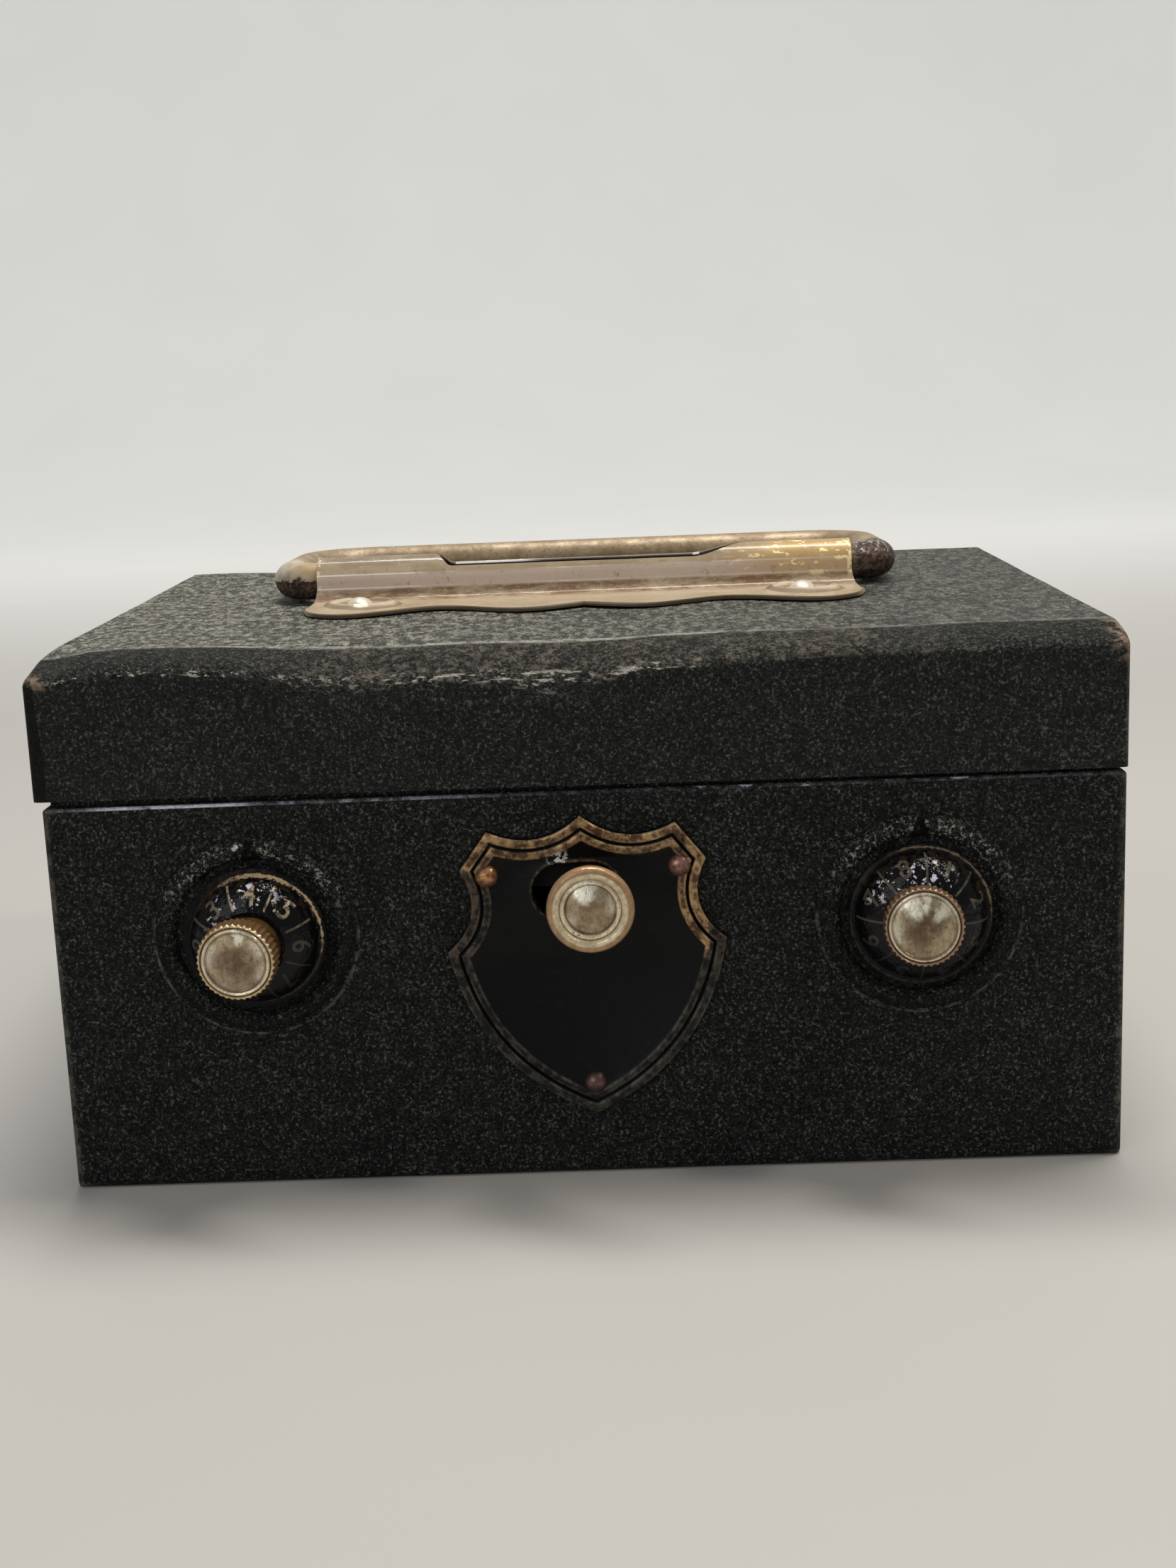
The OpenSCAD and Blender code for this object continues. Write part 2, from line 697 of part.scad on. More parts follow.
// Angle plate welded inside the lid's front, whose shelf the hook slides over
module strike() color([0.5, 0.51, 0.53]) {
  shelf_back = bar_back - shelf_reach;
  on_front(0, 0) {
    translate([strike_x, shelf_z, panel_back - shelf_t]) cube([strike_w, strike_h, shelf_t]);
    translate([strike_x, shelf_z, shelf_back]) cube([strike_w, shelf_t, panel_back - shelf_back]);
  }
}

lobe_pitch = 26;
lobe_x = 8;
lobe_rise = 2.9;
end_lobe_x = lobe_x + lobe_pitch;
flange_tip_reach = 10;
flange_tip_y = roll_front_y - flange_tip_reach;
flange_lobe_y = roll_front_y - flange_depth;

// Front edge of the bracket's flange: two scallops a side, then a rounded end
function flange_edge_y(x) =
  abs(x) < end_lobe_x
  ? flange_lobe_y + lobe_rise * (1 - cos(360 * (abs(x) - lobe_x) / lobe_pitch))
  : let (end = (abs(x) - end_lobe_x) / (flange_w / 2 - end_lobe_x))
    flange_tip_y - (flange_tip_y - flange_lobe_y) * sqrt(max(0, 1 - end * end));

module flange_plan() {
  steps = 84;
  polygon(
    [
      [-flange_w / 2, roll_front_y + bracket_t],
      for (i = [0:steps])
        let (x = flange_w * (i / steps - 0.5)) [x, flange_edge_y(x)],
      [flange_w / 2, roll_front_y + bracket_t]
    ]
  );
}

// Side view of the bracket above its flange: upright front wall, fold at its foot and the roll
module roll_profile() {
  fold_r = 2;
  translate([roll_front_y, case_h]) square([bracket_t, roll_z - case_h]);
  translate([roll_front_y - fold_r, case_h + bracket_t - tiny])
    difference() {
      square([fold_r + tiny, fold_r]);
      translate([0, fold_r]) circle(r = fold_r);
    }
  translate([roll_y, roll_z])
    difference() {
      circle(r = roll_ro);
      circle(r = roll_ri);
      translate([-roll_ro - over, -roll_ro - over]) square([roll_ro + over, roll_ro + over]);
    }
}

// Opening along the top of the roll, with dished ends
module roll_opening_cut() {
  end_r = 4;
  depth = roll_ro * 0.4;
  half = roll_opening / 2 - end_r;
  translate([0, roll_y + roll_ro + over, roll_z + roll_ro - depth])
    rotate([90, 0, 0])
      linear_extrude(2 * (roll_ro + over)) {
        translate([-half, 0]) square([2 * half, end_r + over]);
        for (side = [-1, 1])
          translate([side * half, end_r]) circle(r = end_r);
      }
}

module handle_bracket() color([0.72, 0.58, 0.33]) {
  ring_r = 4.6;
  ring_half = 0.75;
  difference() {
    union() {
      translate([handle_x, 0, case_h]) linear_extrude(bracket_t) flange_plan();
      translate([handle_x - roll_len / 2, 0, 0]) rotate([90, 0, 90]) linear_extrude(roll_len) roll_profile();
      for (side = [-1, 1])
        translate([side * bracket_rivet_x, bracket_rivet_y, case_h + bracket_t - tiny])
          rotate_extrude()
            intersection() {
              translate([ring_r, -ring_half * 0.25]) circle(r = ring_half);
              translate([ring_r - ring_half, 0]) square([2 * ring_half, ring_half]);
            }
    }
    translate([handle_x, 0, 0]) roll_opening_cut();
    translate([handle_x, roll_y, case_h - over]) coin_slot_cut(roll_z - case_h + over);
    for (side = [-1, 1])
      translate([side * bracket_rivet_x, bracket_rivet_y, case_h - over])
        cylinder(r = rivet_shank_r + fit_gap, h = bracket_t + 2 * over);
  }
}

module bracket_rivets() color([0.7, 0.62, 0.45]) {
  for (side = [-1, 1])
    translate([side * bracket_rivet_x, bracket_rivet_y, case_h + bracket_t])
      rivet(bracket_rivet_d / 2, 1.3, rivet_shank_r, bracket_t + sheet_t, 0.7);
}

// Quarter bend of the rod in the XY plane: it leaves the origin along +X and ends along +Y
module rod_bend(bend_r) {
  translate([0, bend_r, 0]) rotate([0, 0, -90])
    rotate_extrude(angle = 90) translate([bend_r, 0]) circle(d = rod_d);
}

// One half of the handle, from its journal in the roll to the middle of the grip
module half_bail() {
  bend_x = arm_x - bail_bend_r;
  journal_x = roll_len / 2 - journal_l;
  rod_x(journal_x, bend_x, rod_d / 2);
  translate([bend_x, 0, 0]) rod_bend(bail_bend_r);
  translate([arm_x, bail_bend_r, 0]) rotate([-90, 0, 0])
    cylinder(d = rod_d, h = bail_reach - bail_bend_r - grip_bend_r);
  translate([0, bail_reach, 0]) mirror([0, 1, 0]) {
    translate([arm_x - grip_bend_r, 0, 0]) rod_bend(grip_bend_r);
    rod_x(-tiny, arm_x - grip_bend_r, rod_d / 2);
  }
}

module handle_bail() color([0.66, 0.52, 0.3]) {
  translate([handle_x, roll_y, roll_z]) rotate([-bail_droop, 0, 0]) {
    half_bail();
    mirror([1, 0, 0]) half_bail();
  }
}

// Hinge leaf in the plane y = 0 below an axis at the origin, with every second knuckle
module hinge_leaf(first) {
  notch_h = sqrt(knuckle_r * knuckle_r - pow(knuckle_r + slide_gap - leaf_t, 2)) + 2 * slide_gap;
  gap = slide_gap / 2;
  difference() {
    union() {
      translate([-hinge_len / 2, -knuckle_r - slide_gap, -leaf_h]) cube([hinge_len, leaf_t, leaf_h]);
      for (i = [first:2:knuckle_count - 1])
        rod_x(-hinge_len / 2 + i * knuckle_pitch + gap, -hinge_len / 2 + (i + 1) * knuckle_pitch - gap, knuckle_r);
    }
    for (i = [1 - first:2:knuckle_count - 1])
      translate([-hinge_len / 2 + i * knuckle_pitch - gap, -knuckle_r - slide_gap - over, -notch_h])
        cube([knuckle_pitch + 2 * gap, leaf_t + over + tiny, notch_h + over]);
    rod_x(-hinge_len, hinge_len, hinge_pin_d / 2 + run_gap);
    for (x = leaf_rivet_xs)
      translate([x, 0, -leaf_rivet_z]) rotate([90, 0, 0]) cylinder(r = rivet_shank_r + fit_gap, h = knuckle_d);
  }
}

module leaf_rivets(z) {
  for (x = leaf_rivet_xs)
    translate([x, back_y + leaf_t, z])
      rotate([-90, 0, 0]) rivet(rivet_head_r, rivet_head_h, rivet_shank_r, leaf_t + sheet_t, 0.6);
}

module body_hinge_leaf() color([0.12, 0.12, 0.12]) {
  translate([0, hinge_y, hinge_z]) hinge_leaf(0);
}

module lid_hinge_leaf() color([0.12, 0.12, 0.12]) {
  translate([0, hinge_y, hinge_z]) mirror([0, 0, 1]) hinge_leaf(1);
}

module hinge_pin() color([0.5, 0.5, 0.5]) {
  translate([0, hinge_y, hinge_z]) rod_x(-hinge_len / 2 - 0.5, hinge_len / 2 + 0.5, hinge_pin_d / 2);
}

module body_hinge_rivets() color([0.12, 0.12, 0.12]) leaf_rivets(hinge_z - leaf_rivet_z);
module lid_hinge_rivets() color([0.12, 0.12, 0.12]) leaf_rivets(hinge_z + leaf_rivet_z);

body_shell();
lid_shell();
shield_plate();
shield_rivets();
left_dial();
left_spindle();
left_knob_cap();
left_knob_face();
left_bush();
left_tumbler();
left_clip();
right_dial();
right_spindle();
right_knob_cap();
right_knob_face();
right_bush();
right_tumbler();
right_clip();
latch_knob();
latch_knob_face();
latch_stem();
slide_bar();
left_bar_guide();
right_bar_guide();
strike();
handle_bracket();
bracket_rivets();
handle_bail();
body_hinge_leaf();
lid_hinge_leaf();
hinge_pin();
body_hinge_rivets();
lid_hinge_rivets();
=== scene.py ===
"""Looks of a toy savings safe in black wrinkle paint, with enamelled dials and a gold-lacquered handle.

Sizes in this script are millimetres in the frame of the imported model, and become metres when a mesh is made.
"""
import math

import bmesh
import bpy
from mathutils import Matrix, Vector, noise
from mathutils.geometry import tessellate_polygon


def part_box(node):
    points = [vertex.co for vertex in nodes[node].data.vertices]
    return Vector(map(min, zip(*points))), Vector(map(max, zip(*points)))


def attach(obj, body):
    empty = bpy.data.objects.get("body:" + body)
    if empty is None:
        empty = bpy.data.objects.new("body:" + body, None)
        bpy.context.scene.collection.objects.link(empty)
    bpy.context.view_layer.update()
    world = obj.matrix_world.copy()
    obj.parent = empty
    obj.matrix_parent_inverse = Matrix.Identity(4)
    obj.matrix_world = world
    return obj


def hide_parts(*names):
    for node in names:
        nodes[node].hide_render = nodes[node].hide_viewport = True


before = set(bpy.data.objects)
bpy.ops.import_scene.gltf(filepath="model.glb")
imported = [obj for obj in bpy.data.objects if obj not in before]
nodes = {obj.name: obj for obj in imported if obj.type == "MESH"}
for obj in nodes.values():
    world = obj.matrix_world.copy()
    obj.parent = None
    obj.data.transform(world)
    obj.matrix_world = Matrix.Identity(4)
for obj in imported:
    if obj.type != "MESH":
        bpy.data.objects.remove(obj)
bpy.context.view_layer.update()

MM = 0.001

# Places taken from the frame, in millimetres
lid_low, lid_high = [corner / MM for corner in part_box("lid_shell")]
bracket_low, bracket_high = [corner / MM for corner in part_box("handle_bracket")]
left_dial_low, left_dial_high = [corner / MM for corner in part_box("left_dial")]
right_dial_low, right_dial_high = [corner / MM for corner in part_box("right_dial")]
latch_low, latch_high = [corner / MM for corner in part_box("latch_stem")]
cap_low, cap_high = [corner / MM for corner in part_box("left_knob_cap")]

front_y = lid_low.y
half_w = lid_high.x
half_d = lid_high.y
parting_z = lid_low.z
case_top = lid_high.z
dial_z = (left_dial_low.z + left_dial_high.z) / 2
dial_x = (right_dial_low.x + right_dial_high.x) / 2
dial_r = (left_dial_high.x - left_dial_low.x) / 2
latch_x = (latch_low.x + latch_high.x) / 2
latch_z = (latch_low.z + latch_high.z) / 2
knob_r = (cap_high.x - cap_low.x) / 2
knob_back = front_y - cap_high.y
knob_front = front_y - cap_low.y


def tone(red, green, blue):
    """Linear colour of a display colour given as 0 to 255."""
    def linear(value):
        share = value / 255
        return share / 12.92 if share <= 0.04045 else ((share + 0.055) / 1.055) ** 2.4
    return (linear(red), linear(green), linear(blue), 1.0)


def smooth_step(value, start, end):
    share = min(max((value - start) / (end - start), 0.0), 1.0)
    return share * share * (3 - 2 * share)


def hump(value, middle, width):
    return math.exp(-((value - middle) / width) ** 2)


def bowed(start, end, sag, steps):
    """Points from start towards end, bowed to the left of the chord by sag; end is left out."""
    chord = end - start
    across = Vector((-chord.y, chord.x)).normalized()
    shares = [i / steps for i in range(steps)]
    return [start + t * chord + 4 * t * (1 - t) * sag * across for t in shares]


def set_up(thing, **settings):
    for key, value in settings.items():
        setattr(thing, key, value)
    return thing


class Finish:
    """One procedural material, built up from a plain colour.

    Its x, y, z and place are millimetres in the frame at rest, so that marks move with their part. facing is
    the surface's direction, and colour is the colour as laid so far.
    """

    def __init__(self, name, colour):
        self.colour = colour
        self.material = bpy.data.materials.new(name)
        self.material.use_nodes = True
        self.tree = self.material.node_tree
        self.shader = self.tree.nodes["Principled BSDF"]
        coordinates = self.tree.nodes.new("ShaderNodeTexCoord").outputs
        self.place = self.node(
            "ShaderNodeVectorMath", {0: coordinates["Object"], "Scale": 1 / MM}, operation="SCALE"
        )
        self.x, self.y, self.z = self.parts(self.place)
        self.facing = self.parts(coordinates["Normal"])

    def feed(self, socket, value):
        """Links a socket to another node's output, or sets it to a plain value."""
        if isinstance(value, bpy.types.NodeSocket):
            self.tree.links.new(value, socket)
        else:
            socket.default_value = value

    def node(self, kind, inputs, output=0, **settings):
        """Output of a new node; inputs are given by their name or number."""
        node = set_up(self.tree.nodes.new(kind), **settings)
        for key, value in inputs.items():
            self.feed(node.inputs[key], value)
        return node.outputs[output]

    def parts(self, vector):
        """The three numbers of a vector."""
        node = self.tree.nodes.new("ShaderNodeSeparateXYZ")
        self.feed(node.inputs[0], vector)
        return node.outputs

    def math(self, operation, *values):
        return self.node("ShaderNodeMath", dict(enumerate(values)), operation=operation)

    def plus(self, first, second):
        return self.math("ADD", first, second)

    def minus(self, first, second):
        return self.math("SUBTRACT", first, second)

    def times(self, *values):
        product = values[0]
        for value in values[1:]:
            product = self.math("MULTIPLY", product, value)
        return product

    def most(self, *values):
        largest = values[0]
        for value in values[1:]:
            largest = self.math("MAXIMUM", largest, value)
        return largest

    def off(self, value, middle):
        """Distance of a value from a middle."""
        return self.math("ABSOLUTE", self.minus(value, middle))

    def fade(self, value, start, end):
        """0 at start, 1 at end and smooth between them, whichever of the two is the larger."""
        ends = {"Value": value, "From Min": start, "From Max": end}
        return self.node("ShaderNodeMapRange", ends, interpolation_type="SMOOTHSTEP")

    def span(self, value, start, end, soft):
        """1 between start and end, with soft edges outside them."""
        return self.times(self.fade(value, start - soft, start), self.fade(value, end + soft, end))

    def scale(self, value, low, high):
        """Value between 0 and 1 stretched to low and high."""
        return self.node("ShaderNodeMapRange", {"Value": value, "To Min": low, "To Max": high})

    def away(self, first, second):
        """Distance from an axis, from the offsets in the two directions across it."""
        return self.math("SQRT", self.plus(self.times(first, first), self.times(second, second)))

    def around(self, centre_x, centre_z):
        """Distance from an axis along Y."""
        return self.away(self.minus(self.x, centre_x), self.minus(self.z, centre_z))

    def slanted(self):
        """1 on rounded edges, 0 on faces square to an axis."""
        largest = self.most(*[self.math("ABSOLUTE", part) for part in self.facing])
        return self.fade(largest, 0.97, 0.86)

    def grain(self, per_mm, detail=2.0, roughness=0.5, distortion=0.0, stretch=None):
        """Noise from 0 to 1; a share of stretch below 1 draws it out along that axis."""
        place = self.place
        if stretch:
            place = self.node("ShaderNodeVectorMath", {0: place, 1: stretch}, operation="MULTIPLY")
        return self.node("ShaderNodeTexNoise", {
            "Vector": place, "Scale": per_mm, "Detail": detail,
            "Roughness": roughness, "Distortion": distortion
        })

    def patches(self, per_mm, start, end, detail=4.0, roughness=0.7, distortion=0.0, stretch=None):
        """Spots of noise: 0 where the noise is at start, 1 where it is at end."""
        return self.fade(self.grain(per_mm, detail, roughness, distortion, stretch), start, end)

    def wobble(self, size, per_mm, detail=4.0, roughness=0.5):
        """Noise about 0 that is as large as size in all."""
        return self.times(self.minus(self.grain(per_mm, detail, roughness), 0.5), size)

    def mix(self, factor, first, second):
        """Colour between two colours."""
        return self.node("ShaderNodeMix", {0: factor, 6: first, 7: second}, 2, data_type="RGBA")

    def lay(self, tint, *masks):
        """Puts a tint over the colour, as far as the masks together let it."""
        self.colour = self.mix(self.times(*masks), self.colour, tint)

    def blend(self, factor, first, second):
        """Plain number between two numbers."""
        return self.node("ShaderNodeMix", {0: factor, 2: first, 3: second}, data_type="FLOAT")

    def bump(self, height, depth, over=None):
        """Surface relief: height runs from 0 to 1, and depth is its size in millimetres."""
        inputs = {"Height": height, "Distance": depth * MM, "Strength": 1.0}
        if over is not None:
            inputs["Normal"] = over
        return self.node("ShaderNodeBump", inputs)

    def pitted(self, per_mm, depth, detail=3.0, over=None):
        """Relief of plain noise."""
        return self.bump(self.grain(per_mm, detail=detail), depth, over)

    def paint(self, roughness, metallic=0.0, normal=None, **constants):
        """Ends the material with its colour and these other values."""
        self.feed(self.shader.inputs["Base Color"], self.colour)
        self.feed(self.shader.inputs["Roughness"], roughness)
        self.feed(self.shader.inputs["Metallic"], metallic)
        if normal is not None:
            self.feed(self.shader.inputs["Normal"], normal)
        for key, value in constants.items():
            self.shader.inputs[key.replace("_", " ")].default_value = value
        return self.material


# Colours, as they look on a display under plain light
PAINT_BLACK = tone(9, 11, 10)
# Painted highlights of the wrinkle paint: lighter grey on the wrinkles' tops, and pale glinting specks
WRINKLE_HIGHLIGHT_GREY = tone(44, 47, 43)
WRINKLE_GLINT = tone(102, 106, 98)
DUST = tone(160, 156, 141)
# Rubbed paint, also laid as a painted highlight along the side edges
RUBBED_AND_SHEEN = tone(113, 106, 95)
BEND_BROWN = tone(108, 100, 89)
# Near black laid as painted shade: in the rings' notches, on their lower flanks and down the lid's left edge
PAINTED_SHADE = tone(8, 6, 6)
SHINE = tone(226, 222, 236)
# Pale scuffs, also laid as painted highlights along the lid's bend line and on the rings round the dials
SCUFF_AND_HIGHLIGHT = tone(176, 172, 162)
BARE_BROWN = tone(140, 120, 102)
ENAMEL = tone(10, 10, 12)
PALE_GOLD = tone(226, 200, 154)
GILT_BROWN = tone(176, 142, 104)
GILT_PINK = tone(168, 138, 116)
# Brown of the dial knobs' knurled sides: the gilt's own brown, darkened as painted shade
KNURL_SHADE_BROWN = tone(112, 85, 55)
PEWTER = tone(228, 212, 176)
DEEP_BROWN = tone(74, 48, 28)
NICKEL = tone(206, 188, 154)
NICKEL_DULL = tone(124, 102, 76)
COPPER_DARK = tone(80, 57, 47)
STEEL = tone(160, 160, 158)
RUST = tone(112, 66, 38)

# Radius of the raised rings round the dials, at the middle of their width
RING_R = 11.7


def wrinkle_relief(m):
    """Meandering wrinkles of crinkle paint, fine ones over coarser ones."""
    folds = m.grain(1.05, detail=2.5, roughness=0.6, distortion=1.1)
    ridges = m.fade(m.off(folds, 0.5), 0.16, 0.0)
    grains = m.grain(2.0, detail=2.0, roughness=0.6)
    height = m.plus(m.times(ridges, 0.6), m.times(grains, 0.4))
    coarse = m.grain(0.5, detail=3.0, roughness=0.65, distortion=0.6)
    return m.bump(height, 0.24, over=m.bump(coarse, 0.34)), height


def wrinkle_paint(name, *layers, dull_on=None):
    """Black wrinkle paint with painted highlights on its wrinkles, under layers of wear and of painted light
    and shade, each given by its mask, colour and roughness.

    dull_on is the mask of where the paint has lost its gloss.
    """
    m = Finish(name, PAINT_BLACK)
    normal, height = wrinkle_relief(m)
    lit_ridge = m.fade(height, 0.56, 0.84)
    drift = m.wobble(0.1, 0.32, detail=3.0, roughness=0.6)
    specks = m.fade(m.plus(m.grain(2.2, detail=4.0, roughness=0.78), drift), 0.53, 0.66)
    # Painted highlights: the wrinkles' tops lighter, and pale glinting specks
    m.lay(WRINKLE_HIGHLIGHT_GREY, lit_ridge, 0.55)
    m.lay(WRINKLE_GLINT, specks, 0.85)
    roughness = m.scale(m.grain(0.4, detail=3.0), 0.44, 0.6)
    for mask_of, tint, matt in layers:
        mask = mask_of(m)
        m.lay(tint, mask)
        roughness = m.blend(mask, roughness, matt)
    gloss = m.blend(dull_on(m), 0.2, 0.06) if dull_on else 0.13
    m.feed(m.shader.inputs["Specular IOR Level"], gloss)
    return m.paint(roughness, normal=normal)


def lid_top(m):
    """1 on the lid's top behind the front bend."""
    behind_bend = m.fade(m.y, BEND_LINE_Y - 1.0, BEND_LINE_Y)
    return m.times(m.fade(m.facing[2], 0.93, 0.975), behind_bend)


def lid_dust(m):
    """Dust and fine wear over the lid's top, in the grain of the wrinkles and lighter towards the left."""
    fine = m.patches(0.95, 0.44, 0.58, roughness=0.75, stretch=(1, 0.5, 1))
    broad = m.patches(0.3, 0.35, 0.65, roughness=0.6)
    side = m.scale(m.fade(m.x, half_w, -half_w), 0.42, 0.96)
    return m.times(lid_top(m), side, m.blend(fine, 0.1, 1.0), m.blend(broad, 0.82, 1.0))


def lid_dashes(m):
    """Short dark squiggles and scars across the lid's top."""
    curls = m.grain(0.5, detail=2.0, distortion=2.2, stretch=(1, 0.5, 1))
    lines = m.fade(m.off(curls, 0.5), 0.05, 0.015)
    scars = m.patches(0.5, 0.62, 0.67, detail=3.0, roughness=0.5, stretch=(0.45, 1.5, 1))
    return m.times(m.most(m.times(lines, 0.85), scars), lid_top(m), 0.92)


def above_foot(m):
    """1 above the foot of the lid's front bend."""
    return m.fade(m.z, case_top - 7, case_top - 5.5)


def on_bend(m):
    """1 on the bend along the lid's front, from its line on the top down to its foot."""
    back = m.fade(m.y, BEND_LINE_Y + 0.4, BEND_LINE_Y - 0.8)
    return m.times(back, m.fade(m.facing[2], 0.16, 0.4), above_foot(m))


def bend_wear(m):
    """Rubbed, brownish grey bend, worn most in the middle and dark towards the left corner."""
    patches = m.patches(0.35, 0.36, 0.64, detail=5.0, roughness=0.68)
    grain = m.patches(1.0, 0.46, 0.6, roughness=0.74)
    along = m.blend(m.span(m.x, -26, 34, 20), 0.22, 0.8)
    return m.times(on_bend(m), along, m.blend(patches, 0.25, 1.0), m.blend(grain, 0.12, 1.0))


def bend_highlight(m):
    """Painted highlight: thin bright line where the bend leaves the lid's top."""
    line = m.fade(m.off(m.y, BEND_LINE_Y - 0.2), 0.9, 0.3)
    top = m.fade(m.z, case_top - 2.5, case_top - 1.5)
    broken = m.patches(0.7, 0.38, 0.56, roughness=0.65, stretch=(0.5, 1, 1))
    return m.times(line, top, broken, m.scale(m.span(m.x, -42, 20, 12), 0.25, 0.6))


def lid_scuffs(m):
    """Pale flakes along the foot of the front bend, most of them left of the middle."""
    rounding = m.times(m.fade(m.facing[2], 0.16, 0.3), m.fade(m.facing[2], 0.84, 0.68))
    foot = m.times(rounding, m.fade(m.facing[1], -0.3, -0.5), above_foot(m))
    where = m.blend(m.span(m.x, -64, 12, 6), 0.1, 1.0)
    fine = m.patches(1.5, 0.56, 0.61, stretch=(0.5, 1, 1))
    dashes = m.patches(1.1, 0.6, 0.64, detail=3.0, roughness=0.5, stretch=(0.26, 1, 1.5))
    large = m.times(m.span(m.x, -24, 12, 4), dashes)
    return m.times(foot, m.most(m.times(where, fine), large), 0.85)


def lid_rim(m):
    """Worn lower edge of the lid's skirt."""
    worn = m.patches(0.7, 0.52, 0.64, roughness=0.6)
    return m.times(m.fade(m.z, parting_z + 0.45, parting_z + 0.1), worn, 0.3)


def lid_left_shade(m):
    """Painted shade: dark strip down the lid's front at its left edge, wider towards its foot."""
    rise = m.times(m.minus(m.z, parting_z), 0.06)
    edge = m.plus(m.plus(m.x, rise), m.times(m.grain(0.4), 0.6))
    strip = m.fade(edge, 1.9 - half_w, 1.6 - half_w)
    return m.times(strip, m.fade(m.facing[2], 0.4, 0.2), m.fade(m.facing[1], -0.1, -0.3), 0.9)


def lid_brown(m):
    """Bare brown metal at the upper front corners."""
    right = m.times(m.fade(m.x, half_w - 3.2, half_w - 1.0), m.fade(m.z, case_top - 5.5, case_top - 3))
    patch = m.span(m.z, case_top - 2.9, case_top - 1.9, 0.5)
    left = m.times(m.fade(m.x, 2.6 - half_w, 1.5 - half_w), patch, 0.9)
    front = m.fade(m.y, front_y + 9, front_y + 5)
    return m.times(m.most(right, left), front, m.patches(0.7, 0.43, 0.58, roughness=0.5), 0.85)


def edge_wear_and_sheen(m):
    """Paint rubbed thin along the rounded side edges, together with a painted highlight along them."""
    worn = m.patches(0.45, 0.42, 0.66, roughness=0.62)
    return m.times(m.slanted(), m.fade(m.off(m.x, 0), half_w - 3, half_w - 1.2), worn, 0.5)


def shoulder_line(m):
    """Thin bright line on the rounding of the body's front under the lid, brightest towards the left: painted
    highlight of the rounding, with rubbed paint.
    """
    rounding = m.times(m.fade(m.facing[2], 0.5, 0.62), m.fade(m.facing[2], 0.86, 0.76))
    near_top = m.times(m.fade(m.facing[1], -0.2, -0.4), m.fade(m.z, parting_z - 2.2, parting_z - 1.4))
    broken = m.patches(0.6, 0.42, 0.6, detail=5.0, roughness=0.72)
    brightest = m.times(m.span(m.x, -61, -46, 5), m.patches(0.3, 0.3, 0.45, detail=3.0, roughness=0.5))
    along = m.blend(m.span(m.x, -60, -20, 12), 0.12, 0.4)
    dash_grain = m.patches(0.6, 0.56, 0.6, roughness=0.6, stretch=(0.4, 1, 1))
    dashes = m.times(m.span(m.x, 14, 58, 3), dash_grain, 0.7)
    thin = m.times(along, m.blend(broken, 0.15, 1.0))
    return m.times(rounding, near_top, m.most(thin, brightest, dashes))


def on_front(m):
    """1 on the outside of the body's front."""
    return m.fade(m.y, front_y + 0.5, front_y + 0.2)


def beside_dial(m):
    """Distance from the upright plane through the nearer dial's axis."""
    return m.off(m.off(m.x, 0), dial_x)


def from_dial(m):
    """Distance from the nearer dial's axis."""
    return m.away(beside_dial(m), m.minus(m.z, dial_z))


def ring_flecks_and_highlight(m):
    """Light flecks on the upper half of the raised rings round the dials, partly scuffs and partly painted
    highlight where the light from above catches them, and a faint rubbed outer edge.
    """
    r = from_dial(m)
    upper = m.times(m.span(r, RING_R - 0.8, RING_R + 0.9, 0.5), m.fade(m.z, dial_z + 1, dial_z + 9))
    edge = m.times(m.span(r, RING_R + 1.2, RING_R + 1.4, 0.35), m.fade(m.off(m.z, dial_z), 1, 6), 0.35)
    flecks = m.patches(1.7, 0.55, 0.61, roughness=0.75)
    return m.times(m.most(upper, edge), flecks, m.fade(m.y, front_y - 0.1, front_y - 0.5), 0.8)


def ring_shade(m):
    """Dark flanks on the lower halves of the rings round the dials, where the light from above misses."""
    bands = [m.span(from_dial(m), inner, inner + 0.7, 0.4) for inner in (RING_R - 2.2, RING_R + 0.4)]
    return m.times(m.most(*bands), m.fade(m.z, dial_z + 5, dial_z - 4), on_front(m), 0.6)


def ring_edge(m):
    """Faint light line round the foot of the rings, broken, strongest at the lower left."""
    line = m.times(m.span(from_dial(m), RING_R + 1.55, RING_R + 1.7, 0.25), m.patches(0.6, 0.42, 0.6))
    return m.times(line, m.fade(m.z, dial_z + 7, dial_z - 4), on_front(m), 0.75)


def ring_notch_shade(m):
    """Painted shade in the index notches at the top of the rings, wider towards the dials."""
    r = from_dial(m)
    half = m.scale(m.fade(r, RING_R + 1.1, RING_R - 1.3), 0.35, 1.1)
    wedge = m.fade(m.minus(beside_dial(m), half), 0.3, 0.0)
    through = m.span(r, RING_R - 1.5, RING_R + 1.0, 0.3)
    return m.times(wedge, through, m.fade(m.z, dial_z, dial_z + 5), on_front(m), 0.9)


def notch_glint(m):
    """Bright fleck on the left lip of the left dial's notch."""
    low = m.fade(m.around(-dial_x - 1.9, dial_z + 11.9), 0.34, 0.16)
    high = m.fade(m.around(-dial_x - 1.6, dial_z + 12.2), 0.34, 0.16)
    return m.times(m.most(low, high), m.fade(m.y, front_y, front_y - 0.2), 0.9)


